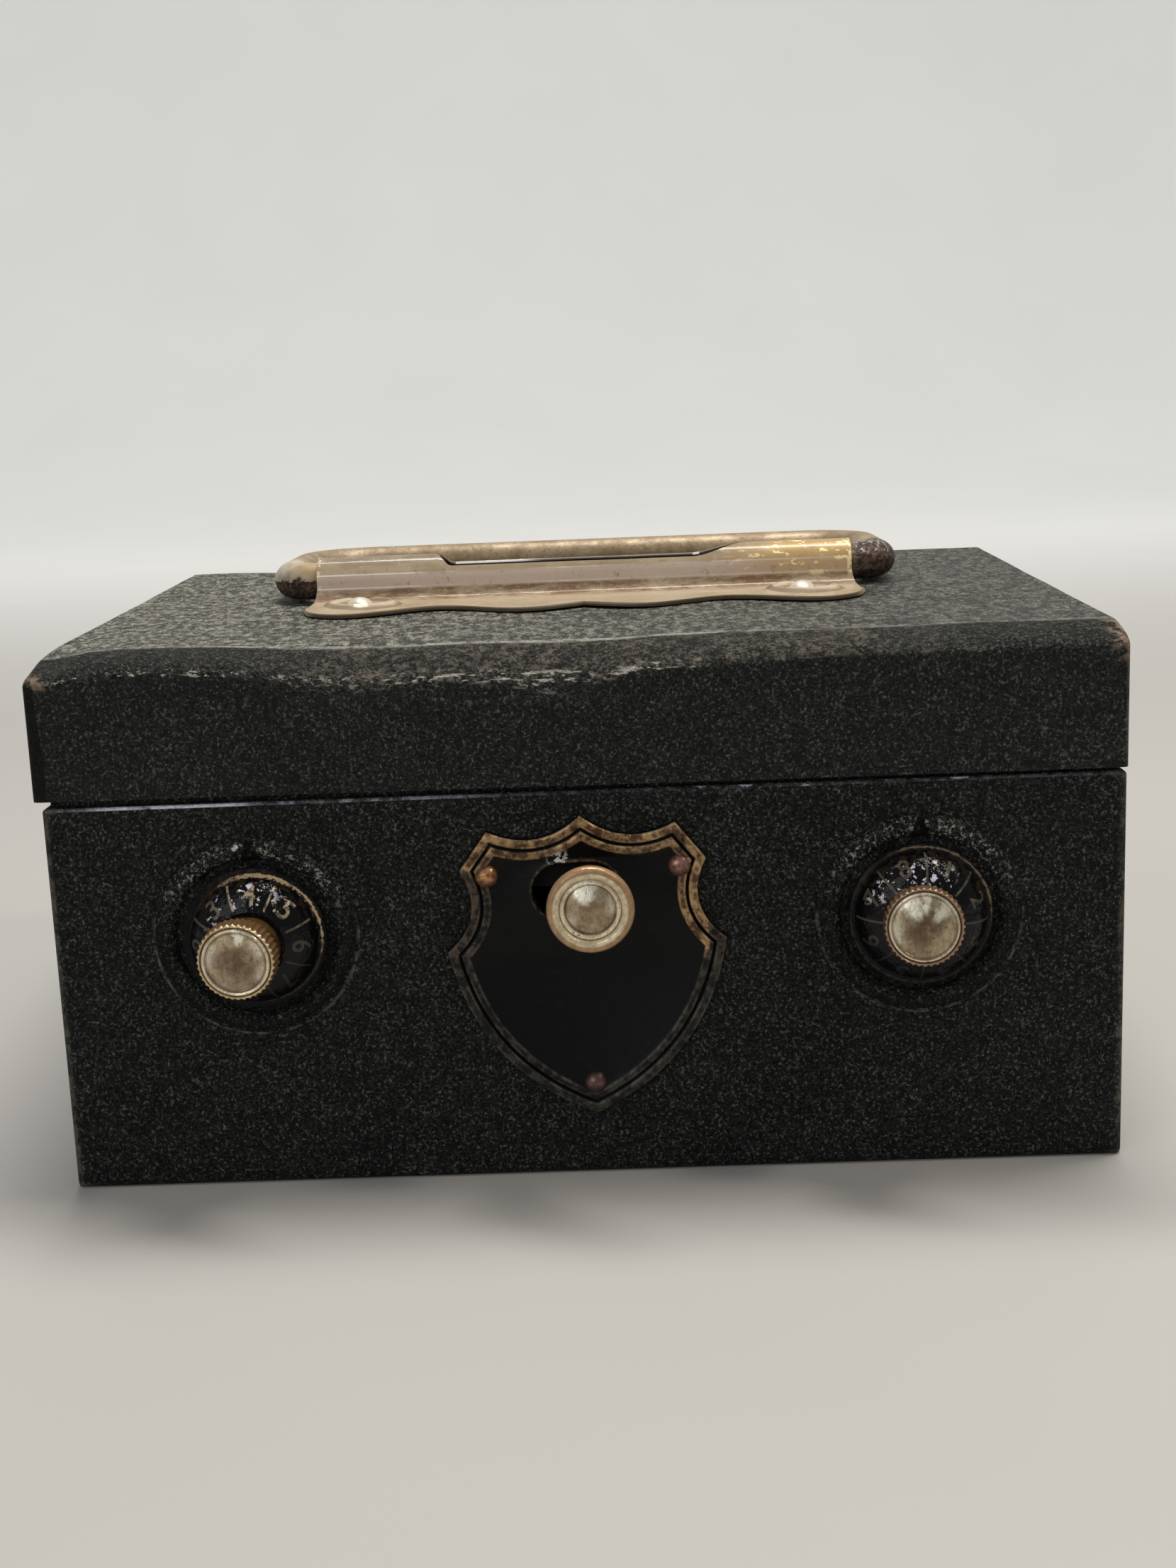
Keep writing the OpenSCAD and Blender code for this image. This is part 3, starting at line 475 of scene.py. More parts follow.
def shield_lacquer():
    """Black lacquer on the field; the two ridges are gold in rubbed patches, more of them near the top, and
    grey further down, with painted highlights on their flanks.
    """
    m = Finish("shield_lacquer", tone(5, 5, 6))
    crest = m.fade(m.y, front_y - CREST_FOOT, front_y - CREST_TOP)
    high = m.fade(m.z, 36, 47)
    side = m.times(m.span(m.x, 10, 15.4, 1), m.span(m.z, 31, 41, 3), 0.42)
    rub = m.grain(0.6, detail=5.0, roughness=0.68)
    gilt = m.fade(m.plus(m.plus(rub, m.times(high, 0.4)), side), 0.66, 0.94)
    flank = m.times(m.fade(m.facing[1], -0.97, -0.88), m.fade(m.facing[1], -0.3, -0.6))
    edge_grain = m.patches(0.45, 0.44, 0.6, detail=5.0)
    metal_grain = m.patches(0.7, 0.38, 0.6, detail=5.0, roughness=0.72)
    metal = m.mix(metal_grain, tone(186, 152, 108), tone(84, 62, 46))
    # Painted highlight along the ridges' flanks, on the gold
    metal = m.mix(m.times(flank, edge_grain, 0.5), metal, tone(224, 188, 138))
    dark_grain = m.patches(0.9, 0.42, 0.64)
    dark = m.mix(dark_grain, tone(18, 18, 17), tone(60, 57, 50))
    dark = m.mix(m.times(m.fade(m.z, 24, 36), dark_grain, 0.8), dark, tone(92, 72, 54))
    # Painted highlight along the ridges' flanks, on the grey
    dark = m.mix(m.times(flank, m.blend(edge_grain, 0.1, 0.6)), dark, tone(96, 92, 82))
    slot_glint_spot = m.fade(m.around(latch_x - 4.0, latch_z + 4.1), 1.9, 0.7)
    m.lay(tone(20, 19, 17), m.patches(0.9, 0.55, 0.75))
    m.lay(m.mix(gilt, dark, metal), crest)
    # Painted glints: pale flecks on the slot's rim, above left of the latch
    m.lay(tone(206, 202, 198), slot_glint_spot, m.patches(1.4, 0.54, 0.58, detail=3.0, roughness=0.6))
    roughness = m.blend(crest, m.scale(m.grain(0.7, detail=3.0), 0.36, 0.52), 0.4)
    pits = m.pitted(3.0, 0.03, detail=2.0, over=m.pitted(0.6, 0.12))
    return m.paint(roughness, metallic=m.times(crest, gilt, 0.55), normal=pits, Specular_IOR_Level=0.16)


def copper_rivet():
    """Round heads: brassy on the left, pinkish on the right, darkest at the bottom, with painted shade round
    the foot and underneath.
    """
    m = Finish("copper_rivet", tone(160, 118, 102))
    patina = m.patches(1.3, 0.44, 0.62)
    foot = m.fade(m.facing[1], -0.85, -0.5)
    under = m.fade(m.facing[2], 0.1, -0.5)
    m.lay(tone(204, 146, 96), m.fade(m.x, 6, -10))
    m.lay(tone(104, 76, 74), m.fade(m.z, 26, 18))
    m.lay(COPPER_DARK, patina, 0.8)
    # Painted shade round the foot of each head and on its underside
    m.lay(tone(44, 30, 24), m.most(foot, under), 0.6)
    return m.paint(m.scale(patina, 0.22, 0.5), metallic=0.5, normal=m.pitted(2.2, 0.05))


def dial_enamel(name, centre_x, line_x, line_r, line_half, glow, sparkle):
    """Glossy black enamel with what is left of a gold line near the rim, kept at the top and upper right, and
    a faint brown painted sheen on the upper brim.

    sparkle is the share of the upper band with small painted glints.
    """
    m = Finish(name, ENAMEL)
    r = m.around(centre_x + line_x, dial_z)
    dx = m.minus(m.x, centre_x)
    dz = m.minus(m.z, dial_z)
    favour = m.math("DIVIDE", m.plus(m.times(dx, 0.6), m.times(dz, 0.8)), dial_r)
    flakes = m.grain(0.9, detail=5.0, roughness=0.7)
    kept = m.fade(m.plus(m.times(flakes, 0.9), m.times(favour, 0.5)), 0.58, 0.8)
    frayed = m.plus(m.off(r, line_r), m.wobble(0.7, 1.8))
    line = m.fade(frayed, line_half, line_half * 0.4)
    gold = m.times(line, m.scale(kept, 0.14, glow))
    upper = m.fade(dz, 1.5, 4.5)
    # Painted sheen: faint brown on the upper brim, where the light from above falls
    stain_and_sheen = m.times(m.span(r, 7.9, 9.2, 0.4), upper, m.patches(0.9, 0.44, 0.62, roughness=0.5), 0.25)
    dust = m.patches(1.4, 0.56, 0.72)
    m.lay(tone(38, 34, 30), dust, 0.3)
    faded_gold = m.mix(m.fade(gold, 0.0, 0.5), tone(84, 68, 54), tone(208, 182, 144))
    m.lay(faded_gold, m.most(gold, stain_and_sheen))
    # Painted glints: small pale flecks on the upper band
    band = m.times(m.span(r, 5.2, 7.6, 0.4), upper, m.fade(dx, 4.4, 2.6))
    glint_flecks = m.patches(1.15, 0.65 - 0.09 * sparkle, 0.69 - 0.09 * sparkle, detail=3.0, roughness=0.62)
    warm = m.patches(0.5, 0.45, 0.55, detail=2.0, roughness=0.5)
    m.lay(m.mix(warm, tone(236, 228, 250), tone(255, 248, 230)), band, glint_flecks)
    brim = m.fade(r, BAND_START.x - 0.1, BAND_START.x + 0.2)
    roughness = m.blend(brim, m.blend(gold, m.scale(dust, 0.06, 0.3), 0.38), 0.7)
    normal = m.pitted(0.8, 0.3, over=m.pitted(2.5, 0.02, detail=2.0))
    return m.paint(roughness, metallic=m.times(gold, 0.2), normal=normal, Specular_IOR_Level=0.2)


def dial_gold(name, centre_x, bright, worn_from):
    """Gold of the numbers and lines on a dial, thin and partly rubbed off, dimmer left of the top, with
    painted shade that dims all but the top and darkens the lower half.
    """
    m = Finish(name, bright)
    worn = m.patches(1.6, worn_from, worn_from + 0.14)
    m.lay(tone(46, 40, 35), worn, 0.92)
    # Painted shade: dimmer below the top of the dial, and dark on its lower half
    m.lay(tone(58, 53, 46), m.fade(m.z, dial_z + 5.2, dial_z + 1.0))
    left_of_top = m.fade(m.minus(m.x, centre_x), -2.2, -4.0)
    m.lay(tone(74, 64, 50), left_of_top, 0.7)
    m.lay(tone(24, 22, 20), m.fade(m.z, dial_z, dial_z - 4.0))
    return m.paint(m.scale(worn, 0.36, 0.5), metallic=0.1)


def knob_gilt(name, centre_x, centre_z, groove_r, rim_r, edge, rim, groove_darkness):
    """Old gilt on a knob: its edge, the paler rim on its front, and a dark brown groove round the face."""
    m = Finish(name, edge)
    r = m.around(centre_x, centre_z)
    front = m.fade(m.facing[1], -0.25, -0.6)
    groove = m.times(m.fade(r, groove_r + 0.16, groove_r + 0.03), front)
    age = m.patches(1.1, 0.42, 0.6, detail=5.0)
    m.lay(rim, m.fade(r, rim_r + 0.1, rim_r - 0.1), front)
    m.lay(tone(118, 84, 54), age, 0.4)
    m.lay(DEEP_BROWN, groove, groove_darkness)
    roughness = m.plus(m.scale(age, 0.24, 0.44), m.times(groove, 0.25))
    return m.paint(roughness, metallic=m.scale(groove, 0.3, 0.15), normal=m.pitted(2.4, 0.04))


def knob_nickel(name, centre_x, centre_z, face_r, centre_reflection, lip_w, foot_w, gleams):
    """Warm pewter-like face: a bright lip round a stained, scratched disc, with painted light: a dark
    reflection in the middle and lower part, shade at the lip's foot, and the lip brightest at the bottom.

    Each gleam is a painted highlight, a bright wedge: its angle from the top in radians, half its width, start
    and strength.
    """
    m = Finish(name, NICKEL)
    r = m.around(centre_x, centre_z)
    dx = m.minus(m.x, centre_x)
    dz = m.minus(m.z, centre_z)
    lip_r = face_r - lip_w
    lip = m.fade(r, lip_r - 0.1, lip_r + 0.15)
    foot = m.times(m.fade(r, lip_r - 0.1 - foot_w, lip_r - 0.15), m.fade(r, lip_r + 0.1, lip_r - 0.1))
    stain_and_sheen = m.patches(0.45, 0.36, 0.62, detail=5.0)
    turn = m.math("ARCTAN2", dx, dz)
    frayed = m.wobble(0.9, 0.7, roughness=0.65)
    m.lay(NICKEL_DULL, stain_and_sheen, 0.7)
    # Painted reflection: darker in the middle of the face and towards its bottom
    m.lay(centre_reflection, m.fade(r, lip_r, 0.3), m.scale(stain_and_sheen, 0.65, 1.0))
    m.lay(tone(96, 76, 54), m.fade(dz, 1.0, -2.6), 0.3)
    # Painted highlights: bright wedges on the face
    for angle, half, start, strength in gleams:
        wedge = m.fade(m.plus(m.off(turn, angle), frayed), half, half * 0.3)
        m.lay(tone(255, 248, 226), wedge, m.fade(r, start, start + 1.3), strength)
    # Painted shade: dark ring at the inner foot of the lip
    m.lay(tone(88, 66, 44), foot, 0.55)
    # Painted highlight: the lip brightest towards the bottom
    lip_lit_side = m.blend(m.fade(dz, 2.5, -2.5), 0.5, 1.0)
    worn_lip = m.scale(m.grain(0.8, detail=3.0), 0.5, 1.25)
    m.lay(tone(252, 238, 204), lip, lip_lit_side, worn_lip)
    scratch = m.patches(2.6, 0.5, 0.62, detail=3.0, roughness=0.5, distortion=0.4, stretch=(1, 1, 0.16))
    specks = m.patches(2.2, 0.57, 0.66)
    m.lay(tone(76, 58, 42), m.most(m.times(scratch, 0.2), m.times(specks, 0.7)))
    roughness = m.plus(m.blend(lip, m.scale(stain_and_sheen, 0.22, 0.38), 0.2), m.times(scratch, 0.08))
    normal = m.bump(scratch, 0.014, over=m.pitted(0.5, 0.08, detail=2.0))
    return m.paint(roughness, metallic=0.5, normal=normal)


def old_brass():
    m = Finish("old_brass", tone(168, 130, 74))
    age = m.patches(0.7, 0.35, 0.65, roughness=0.6)
    m.lay(tone(88, 62, 36), age)
    return m.paint(m.scale(age, 0.32, 0.5), metallic=0.85, normal=m.pitted(2.0, 0.03))


def bare_steel():
    """Plain steel of the inner pieces, with rust spots."""
    m = Finish("bare_steel", STEEL)
    spots = m.patches(0.45, 0.56, 0.72, detail=5.0, roughness=0.65)
    brushed = m.grain(1.8, detail=3.0, stretch=(0.12, 1, 1))
    m.lay(tone(122, 123, 124), brushed)
    m.lay(RUST, spots)
    roughness = m.blend(spots, m.scale(brushed, 0.28, 0.42), 0.7)
    return m.paint(roughness, metallic=m.scale(spots, 0.9, 0.2), normal=m.bump(brushed, 0.02))


def slot_shade_steel():
    """Steel of the slide bar, near black as painted shade where it shows through the latch's slot, lighter and
    more metallic away from the latch.
    """
    m = Finish("slot_shade_steel", tone(9, 9, 9))
    brushed = m.grain(1.6, detail=3.0, stretch=(0.15, 1, 1))
    worn = m.times(m.fade(m.off(m.x, latch_x), 8, 14), m.fade(brushed, 0.5, 0.7))
    m.lay(tone(20, 19, 18), brushed)
    m.lay(tone(96, 94, 90), worn, 0.6)
    roughness, metallic = m.blend(worn, 0.7, 0.4), m.times(worn, 0.7)
    return m.paint(roughness, metallic, normal=m.bump(brushed, 0.02), Specular_IOR_Level=0.2)


def rivet_rings(m):
    """Brown lines along the feet of the rings pressed round the bracket's rivets, and a painted highlight
    along their crests between them.
    """
    r = m.away(m.minus(m.off(m.x, HANDLE_X), RIVET_X), m.minus(m.y, RIVET_Y))
    flat = m.fade(m.z, case_top + 2.6, case_top + 2.2)
    m.lay(tone(96, 72, 48), m.most(m.span(r, 5.2, 5.7, 0.3), m.span(r, 3.5, 3.9, 0.3)), flat, 0.6)
    # Painted highlight along the crests of the pressed rings
    m.lay(tone(232, 222, 202), m.span(r, 4.5, 4.7, 0.2), flat, 0.3)


def wall_highlight_lines(m):
    """Painted highlights: bright broken lines along the upper and the lower edge of the bracket's wall, most
    on the left.
    """
    breaks = m.patches(0.07, 0.4, 0.62, detail=3.0, roughness=0.6, stretch=(1, 0.1, 0.1))
    outer = m.fade(m.y, WALL_Y + 0.9, WALL_Y + 0.5)
    left_part = m.blend(m.fade(m.x, 6, -4), 0.35, 1.0)
    upper_line = m.span(m.z, ROLL_Z + 1.0, ROLL_Z + 1.06, 0.14)
    lines = m.most(upper_line, m.span(m.z, case_top + 2.45, case_top + 2.5, 0.12))
    m.lay(tone(255, 250, 246), lines, outer, breaks, left_part, 0.8)


def end_glints(m):
    """Painted glints: bright specks along the two cut ends of the bracket's wall and roll."""
    specks = m.patches(1.3, 0.48, 0.54, detail=2.0, roughness=0.5)
    right_edge = m.fade(m.off(m.x, HANDLE_X + ROLL_HALF - 0.3), 0.5, 0.25)
    left_edge = m.times(m.fade(m.off(m.x, HANDLE_X - ROLL_HALF + 0.3), 0.4, 0.2), 0.5)
    above_flange = m.fade(m.z, case_top + 1.5, case_top + 2.5)
    m.lay(tone(255, 238, 180), m.most(right_edge, left_edge), specks, above_flange, 0.9)


def gold_lacquer():
    """Tinted lacquer over tinplate: pinkish on the wall, brown at the fold, brassy at the right end, with
    painted highlights, glints, shadow and shade.
    """
    m = Finish("gold_lacquer", tone(178, 160, 134))
    cloud = m.grain(0.12, detail=4.0)
    fine = m.grain(1.1, detail=5.0, roughness=0.7)
    streak = m.patches(0.6, 0.36, 0.6, detail=5.0, stretch=(0.3, 1, 1))
    wall = m.times(m.span(m.z, case_top + 2.6, ROLL_Z + 0.6, 0.8), m.fade(m.facing[1], -0.5, -0.8))
    low = m.span(m.z, case_top + 0.75, case_top + 2.0, 0.5)
    fold = m.times(low, m.span(m.y, WALL_Y - 1.9, WALL_Y + 0.3, 0.6))
    over = m.times(m.fade(m.facing[2], 0.35, 0.85), m.fade(m.z, ROLL_Z + 1, ROLL_Z + 2))
    right_end = m.fade(m.plus(m.x, m.times(cloud, 12)), 26, 38)
    right = m.times(right_end, m.fade(m.z, case_top + 1.5, case_top + 3))
    m.lay(tone(160, 141, 112), m.fade(cloud, 0.35, 0.7))
    m.lay(tone(208, 191, 180), wall, 0.85)
    m.lay(m.mix(streak, tone(140, 123, 99), tone(112, 94, 70)), over, 0.85)
    m.lay(tone(194, 156, 94), right, 0.6)
    m.lay(tone(112, 80, 52), fold, streak, 0.85)
    m.lay(tone(122, 92, 62), m.fade(fine, 0.58, 0.68), 0.5)
    m.lay(tone(222, 208, 184), m.fade(fine, 0.42, 0.34), 0.3)
    rivet_rings(m)
    wall_highlight_lines(m)
    # Painted glints at the brassy right end of the roll
    glints = m.patches(1.0, 0.57, 0.61, detail=3.0, roughness=0.6, stretch=(0.45, 1, 1.2))
    m.lay(tone(255, 240, 176), right, glints, m.fade(m.y, ROLL_Y + 1, ROLL_Y - 1), 0.9)
    end_glints(m)
    # Painted shadow on the lower part of the flange's cut front edge
    flange_edge_shadow = m.times(m.fade(m.facing[1], -0.3, -0.7), m.fade(m.z, case_top + 0.85, case_top + 0.5))
    m.lay(tone(52, 40, 30), flange_edge_shadow, 0.85)
    # Painted shade on the inner face of the roll, seen through the opening
    shell = m.fade(m.away(m.minus(m.y, ROLL_Y), m.minus(m.z, ROLL_Z)), ROLL_R - 0.15, ROLL_R - 0.3)
    behind = m.fade(m.y, WALL_Y + 0.05, WALL_Y + 0.2)
    inside_shade = m.times(shell, m.fade(m.z, case_top + 0.9, case_top + 1.2), behind)
    m.lay(tone(16, 12, 9), inside_shade)
    stained = m.most(m.times(fold, streak), m.fade(fine, 0.6, 0.7), inside_shade)
    roughness = m.plus(m.scale(cloud, 0.42, 0.52), m.times(stained, 0.2))
    return m.paint(
        roughness, metallic=m.times(right, 0.15), normal=m.pitted(0.14, 0.3, 2.0, over=m.pitted(2.0, 0.02)),
        Specular_IOR_Level=0.2, Coat_Weight=0.3, Coat_Roughness=0.04
    )


def tin_rivet():
    """Bright domed rivets of the bracket, stained in patches and darker brown round their foot."""
    m = Finish("tin_rivet", tone(222, 212, 192))
    stain_and_sheen = m.patches(1.1, 0.45, 0.65, roughness=0.66)
    m.lay(tone(160, 138, 106), stain_and_sheen, 0.4)
    sheet_z = case_top + BRACKET_SHEET
    m.lay(tone(108, 82, 56), m.fade(m.z, sheet_z + 0.45, sheet_z + 0.1), 0.7)
    return m.paint(m.scale(stain_and_sheen, 0.3, 0.42), metallic=0.35, normal=m.pitted(1.6, 0.03))


def hinge_black():
    m = Finish("hinge_black", tone(34, 34, 33))
    worn = m.patches(0.8, 0.52, 0.68, roughness=0.65)
    m.lay(tone(112, 106, 98), worn)
    return m.paint(m.scale(worn, 0.42, 0.5), metallic=m.times(worn, 0.6), normal=m.pitted(1.4, 0.05))


def handle_rod():
    """Dull brass rod; its left end keeps pale lacquer above and is dark below, partly rust and partly painted
    shade; its right end is rusty with pale flakes.
    """
    m = Finish("handle_rod", tone(160, 140, 110))
    decay = m.grain(0.55, detail=5.0, roughness=0.68)
    left = m.fade(m.x, -38.5, -41.0)
    right = m.fade(m.x, 40.5, 42.5)
    front = m.fade(m.y, ROLL_Y + 11, ROLL_Y + 5)
    height = m.plus(m.facing[2], m.times(m.minus(decay, 0.5), 2.4))
    above = m.fade(height, -0.02, 0.12)
    below = m.fade(height, 0.1, -0.05)
    pale = m.times(left, front, above)
    # Rust at the right end; on the left end's underside, rust together with painted shade
    rust = m.times(front, m.most(m.times(left, below), right), m.scale(m.fade(decay, 0.3, 0.5), 0.85, 1.0))
    flaking = m.patches(1.3, 0.54, 0.59, detail=5.0, roughness=0.75)
    flakes = m.times(right, front, m.fade(height, 0.35, 0.7), flaking)
    cloud = m.patches(0.3, 0.35, 0.65, detail=5.0, roughness=0.62)
    m.lay(tone(134, 113, 85), cloud)
    tarnish = m.patches(1.6, 0.5, 0.64, detail=5.0)
    m.lay(tone(98, 74, 50), tarnish, 0.5)
    m.lay(m.mix(cloud, tone(204, 194, 176), tone(170, 148, 108)), pale, 0.8)
    pitted = m.patches(1.2, 0.44, 0.62, roughness=0.72)
    m.lay(m.mix(pitted, tone(24, 18, 15), tone(106, 78, 60)), rust)
    m.lay(tone(204, 198, 190), flakes, 0.85)
    pits = m.grain(1.0, detail=4.0, roughness=0.72)
    roughness = m.blend(rust, m.scale(cloud, 0.44, 0.56), 0.75)
    normal = m.bump(m.times(pits, m.scale(rust, 0.1, 1.0)), 0.7)
    return m.paint(roughness, metallic=m.scale(rust, 0.3, 0.0), normal=normal)


def dress(finish, *names):
    """Gives CAD nodes a material of this script."""
    for name in names:
        mesh = nodes[name].data
        mesh.materials.clear()
        mesh.materials.append(finish)


def new_object(name, data):
    """An object in the scene with this mesh, text, light or camera."""
    holder = bpy.data.objects.new(name, data)
    bpy.context.scene.collection.objects.link(holder)
    return holder


def make_object(name, mesh, finish, body, replaces=()):
    piece = new_object(name, mesh)
    mesh.materials.clear()
    mesh.materials.append(finish)
    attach(piece, body)
    if replaces:
        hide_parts(*replaces)


def plain_mesh(name, bm):
    """Ends a bmesh and gives what it held as a mesh, in the same unit."""
    mesh = bpy.data.meshes.new(name)
    bm.to_mesh(mesh)
    bm.free()
    return mesh


def metre_mesh(name, bm):
    """Ends a bmesh in millimetres and gives what it held as a mesh in metres."""
    mesh = plain_mesh(name, bm)
    mesh.transform(Matrix.Scale(MM, 4))
    return mesh


def applied(holder):
    """The mesh of an object with its modifiers applied; the object is removed."""
    bpy.context.view_layer.update()
    mesh = bpy.data.meshes.new_from_object(holder.evaluated_get(bpy.context.evaluated_depsgraph_get()))
    bpy.data.objects.remove(holder)
    return mesh


def settle(name, bm, sharp_degrees, modifiers=()):
    """Turns a bmesh in millimetres into a finished mesh in metres, with its modifiers applied."""
    holder = new_object(name, metre_mesh(name, bm))
    for kind, settings in modifiers:
        set_up(holder.modifiers.new(kind, kind), **settings)
    finished = applied(holder)
    finished.name = name
    finished.polygons.foreach_set("use_smooth", [True] * len(finished.polygons))
    finished.set_sharp_from_angle(angle=math.radians(sharp_degrees))
    return finished


def sheet(thickness):
    """Modifier that gives a skin its thickness, inwards."""
    return "SOLIDIFY", {"thickness": thickness * MM, "offset": -1.0, "use_even_offset": True}


def face_up(bm, place):
    """Makes the faces of a skin agree, so that the one nearest to a place looks up."""
    bmesh.ops.recalc_face_normals(bm, faces=bm.faces[:])
    nearest = min(bm.faces, key=lambda face: (face.calc_center_median() - place).length)
    if nearest.normal.z < 0:
        bmesh.ops.reverse_faces(bm, faces=bm.faces[:])


def long_ring(right_x, left_x, middle, radius, steps):
    """Points round a slot with round ends, from below its right end over it to the left."""
    ring = []
    for centre, first in ((right_x, -90), (left_x, 90)):
        for k in range(steps + 1):
            angle = math.radians(first + 180 * k / steps)
            ring.append(Vector((centre + radius * math.cos(angle), middle + radius * math.sin(angle))))
    return ring


def wavy(x, y, z):
    """Smooth noise at a place."""
    return noise.noise(Vector((x, y, z)))


def add_grid(bm, rows):
    """Quads between equally long rows of points; returns the rows of vertices."""
    grid = [[bm.verts.new(point) for point in row] for row in rows]
    for lower, upper in zip(grid, grid[1:]):
        for i in range(len(lower) - 1):
            bm.faces.new((lower[i], lower[i + 1], upper[i + 1], upper[i]))
    return grid


def weld(bm, distance=0.004):
    bmesh.ops.remove_doubles(bm, verts=bm.verts[:], dist=distance)
    bmesh.ops.dissolve_degenerate(bm, edges=bm.edges[:], dist=distance)


# Lid: sheet with a wide bend along front and back, bashed in along its front edge
COIN_SLOT_L = 36
COIN_SLOT_W = 3.2
CUTTER_REACH = 3
LID_SHEET = 0.8
LID_BEND_DEPTH = 8.0
BEND_LINE_Y = front_y + LID_BEND_DEPTH
LID_BEND_DROP = 3.6
LID_BACK_R = 3.2
LID_SIDE_R = 0.8
BEND_SOFTNESS = 1.2
WALL_ROWS = 12
BEND_ROWS = 14
TOP_ROWS = 72
LID_COLUMNS = 104
SIDE_ROWS = 5
# Damage of the front edge: the long hollow's two ends, and the dents besides it (depth, where along x, width)
HOLLOW_START = (-47, -36)
HOLLOW_END = (12, 3)
LID_DENTS = [(0.3, -30, 5), (-0.3, -16, 5), (0.3, -4, 4), (-0.2, -54, 6), (-0.1, 18, 5)]
CORNER_DROP = 1.5
CORNER_BULGE = 0.8


def lid_edge(inset, depth, drop):
    """Points (distance from the edge, z) up the wall and over a bend, depth wide and drop high."""
    bend_z = case_top - drop
    points = [(inset, parting_z + (bend_z - parting_z) * k / WALL_ROWS) for k in range(WALL_ROWS)]
    for k in range(BEND_ROWS):
        angle = math.pi / 2 * k / BEND_ROWS
        along = 1 - math.cos(angle) ** BEND_SOFTNESS
        up = math.sin(angle) ** BEND_SOFTNESS
        points.append((inset + (depth - inset) * along, bend_z + (drop - inset) * up))
    return points


def lid_profile(inset):
    """Points (y, z) from the front edge over the top to the back edge, moved in by inset."""
    front = [(front_y + away, z) for away, z in lid_edge(inset, LID_BEND_DEPTH, LID_BEND_DROP)]
    back = [(half_d - away, z) for away, z in lid_edge(inset, LID_BACK_R, LID_BACK_R)]
    start, end = BEND_LINE_Y, half_d - LID_BACK_R
    flat = [(start + (end - start) * k / TOP_ROWS, case_top - inset) for k in range(TOP_ROWS + 1)]
    return front + flat + back[::-1]


def seam_gap(x, y):
    """How far the skirt's edge stands off the body: farthest at the left end of the front."""
    to_left = (half_w - x) / (2 * half_w)
    to_front = (half_d - y) / (2 * half_d)
    return 0.06 + 0.5 * to_left ** 1.3 * to_front


def front_dents(x, y, z):
    """How far the front bend is pushed in, in its long hollow, its dents and its ripples."""
    near_front = hump(y, front_y, 7.0) * smooth_step(z, case_top - 8, case_top - 2.5)
    hollow = smooth_step(x, *HOLLOW_START) * smooth_step(x, *HOLLOW_END)
    dent = hollow + sum(depth * hump(x, at, width) for depth, at, width in LID_DENTS)
    return (dent + 0.22 * wavy(x * 0.13, y * 0.05, 3.1)) * near_front


def front_lift(x, y, z, rise):
    """How far the bend's foot is raised on both sides of the middle, and the front's left part."""
    foot_lift = 0.6 * smooth_step(x, -14, -40) + 0.8 * smooth_step(x, 8, 34)
    foot = hump(z, case_top - LID_BEND_DROP, 2.2) * smooth_step(y, front_y + 6, front_y + 2)
    left_lift = 0.7 * smooth_step(x, -20, -50) * hump(y, front_y, 16) * smooth_step(rise, 0.6, 0.9)
    return foot_lift * foot + left_lift


def top_waves(x, y):
    """Waves of the lid's top beside and in front of the handle, and its raised left corner at the back."""
    beside_handle = smooth_step(abs(x), 43, 55)
    corner_lift = 0.45 * smooth_step(-x, 45, 68) * smooth_step(y, front_y, front_y + 25)
    broad = beside_handle * (corner_lift + 0.12 * wavy(x * 0.06, y * 0.06, 0))
    return broad + 0.15 * smooth_step(-y, 20, 40) * wavy(x * 0.07, y * 0.07, 7.7)


def bashed(point):
    """Where a point of the straight lid lies on the real, slightly bent one."""
    x, y, z = point
    rise = (z - parting_z) / (case_top - parting_z)
    z += seam_gap(x, y) * (1 - rise) ** 1.5
    pushed = front_dents(x, y, z)
    lift = front_lift(x, y, z, rise)
    y += 0.5 * pushed
    z += lift - 0.9 * pushed
    z += smooth_step(rise, 0.8, 1.0) * top_waves(x, y)
    front_wall = smooth_step(-y, half_d - 1.5, half_d) * smooth_step(abs(x), 8, 20) * (1 - rise)
    y += 0.14 * front_wall * wavy(x * 0.05, 0.4, z * 0.08)
    left_corner = smooth_step(-x, half_w - 8, half_w) * hump(y, front_y, 10)
    z -= CORNER_DROP * left_corner * smooth_step(rise, 0.7, 1.0)
    x -= CORNER_BULGE * smooth_step(-x, half_w - 3, half_w) * hump(y, front_y, 14)
    return Vector((x, y, z))


def coin_slot_cutter():
    """Long block with round ends that cuts the coin slot."""
    bm = bmesh.new()
    radius = COIN_SLOT_W / 2
    reach = COIN_SLOT_L / 2 - radius
    outline = long_ring(HANDLE_X + reach, HANDLE_X - reach, ROLL_Y, radius, 12)
    low = bm.faces.new([bm.verts.new((point.x, point.y, case_top - CUTTER_REACH)) for point in outline])
    risen = bmesh.ops.extrude_face_region(bm, geom=[low])["geom"]
    raised = [part for part in risen if isinstance(part, bmesh.types.BMVert)]
    bmesh.ops.translate(bm, verts=raised, vec=(0, 0, 2 * CUTTER_REACH))
    bmesh.ops.recalc_face_normals(bm, faces=bm.faces[:])
    return new_object("coin_slot_cutter", metre_mesh("coin_slot_cutter", bm))


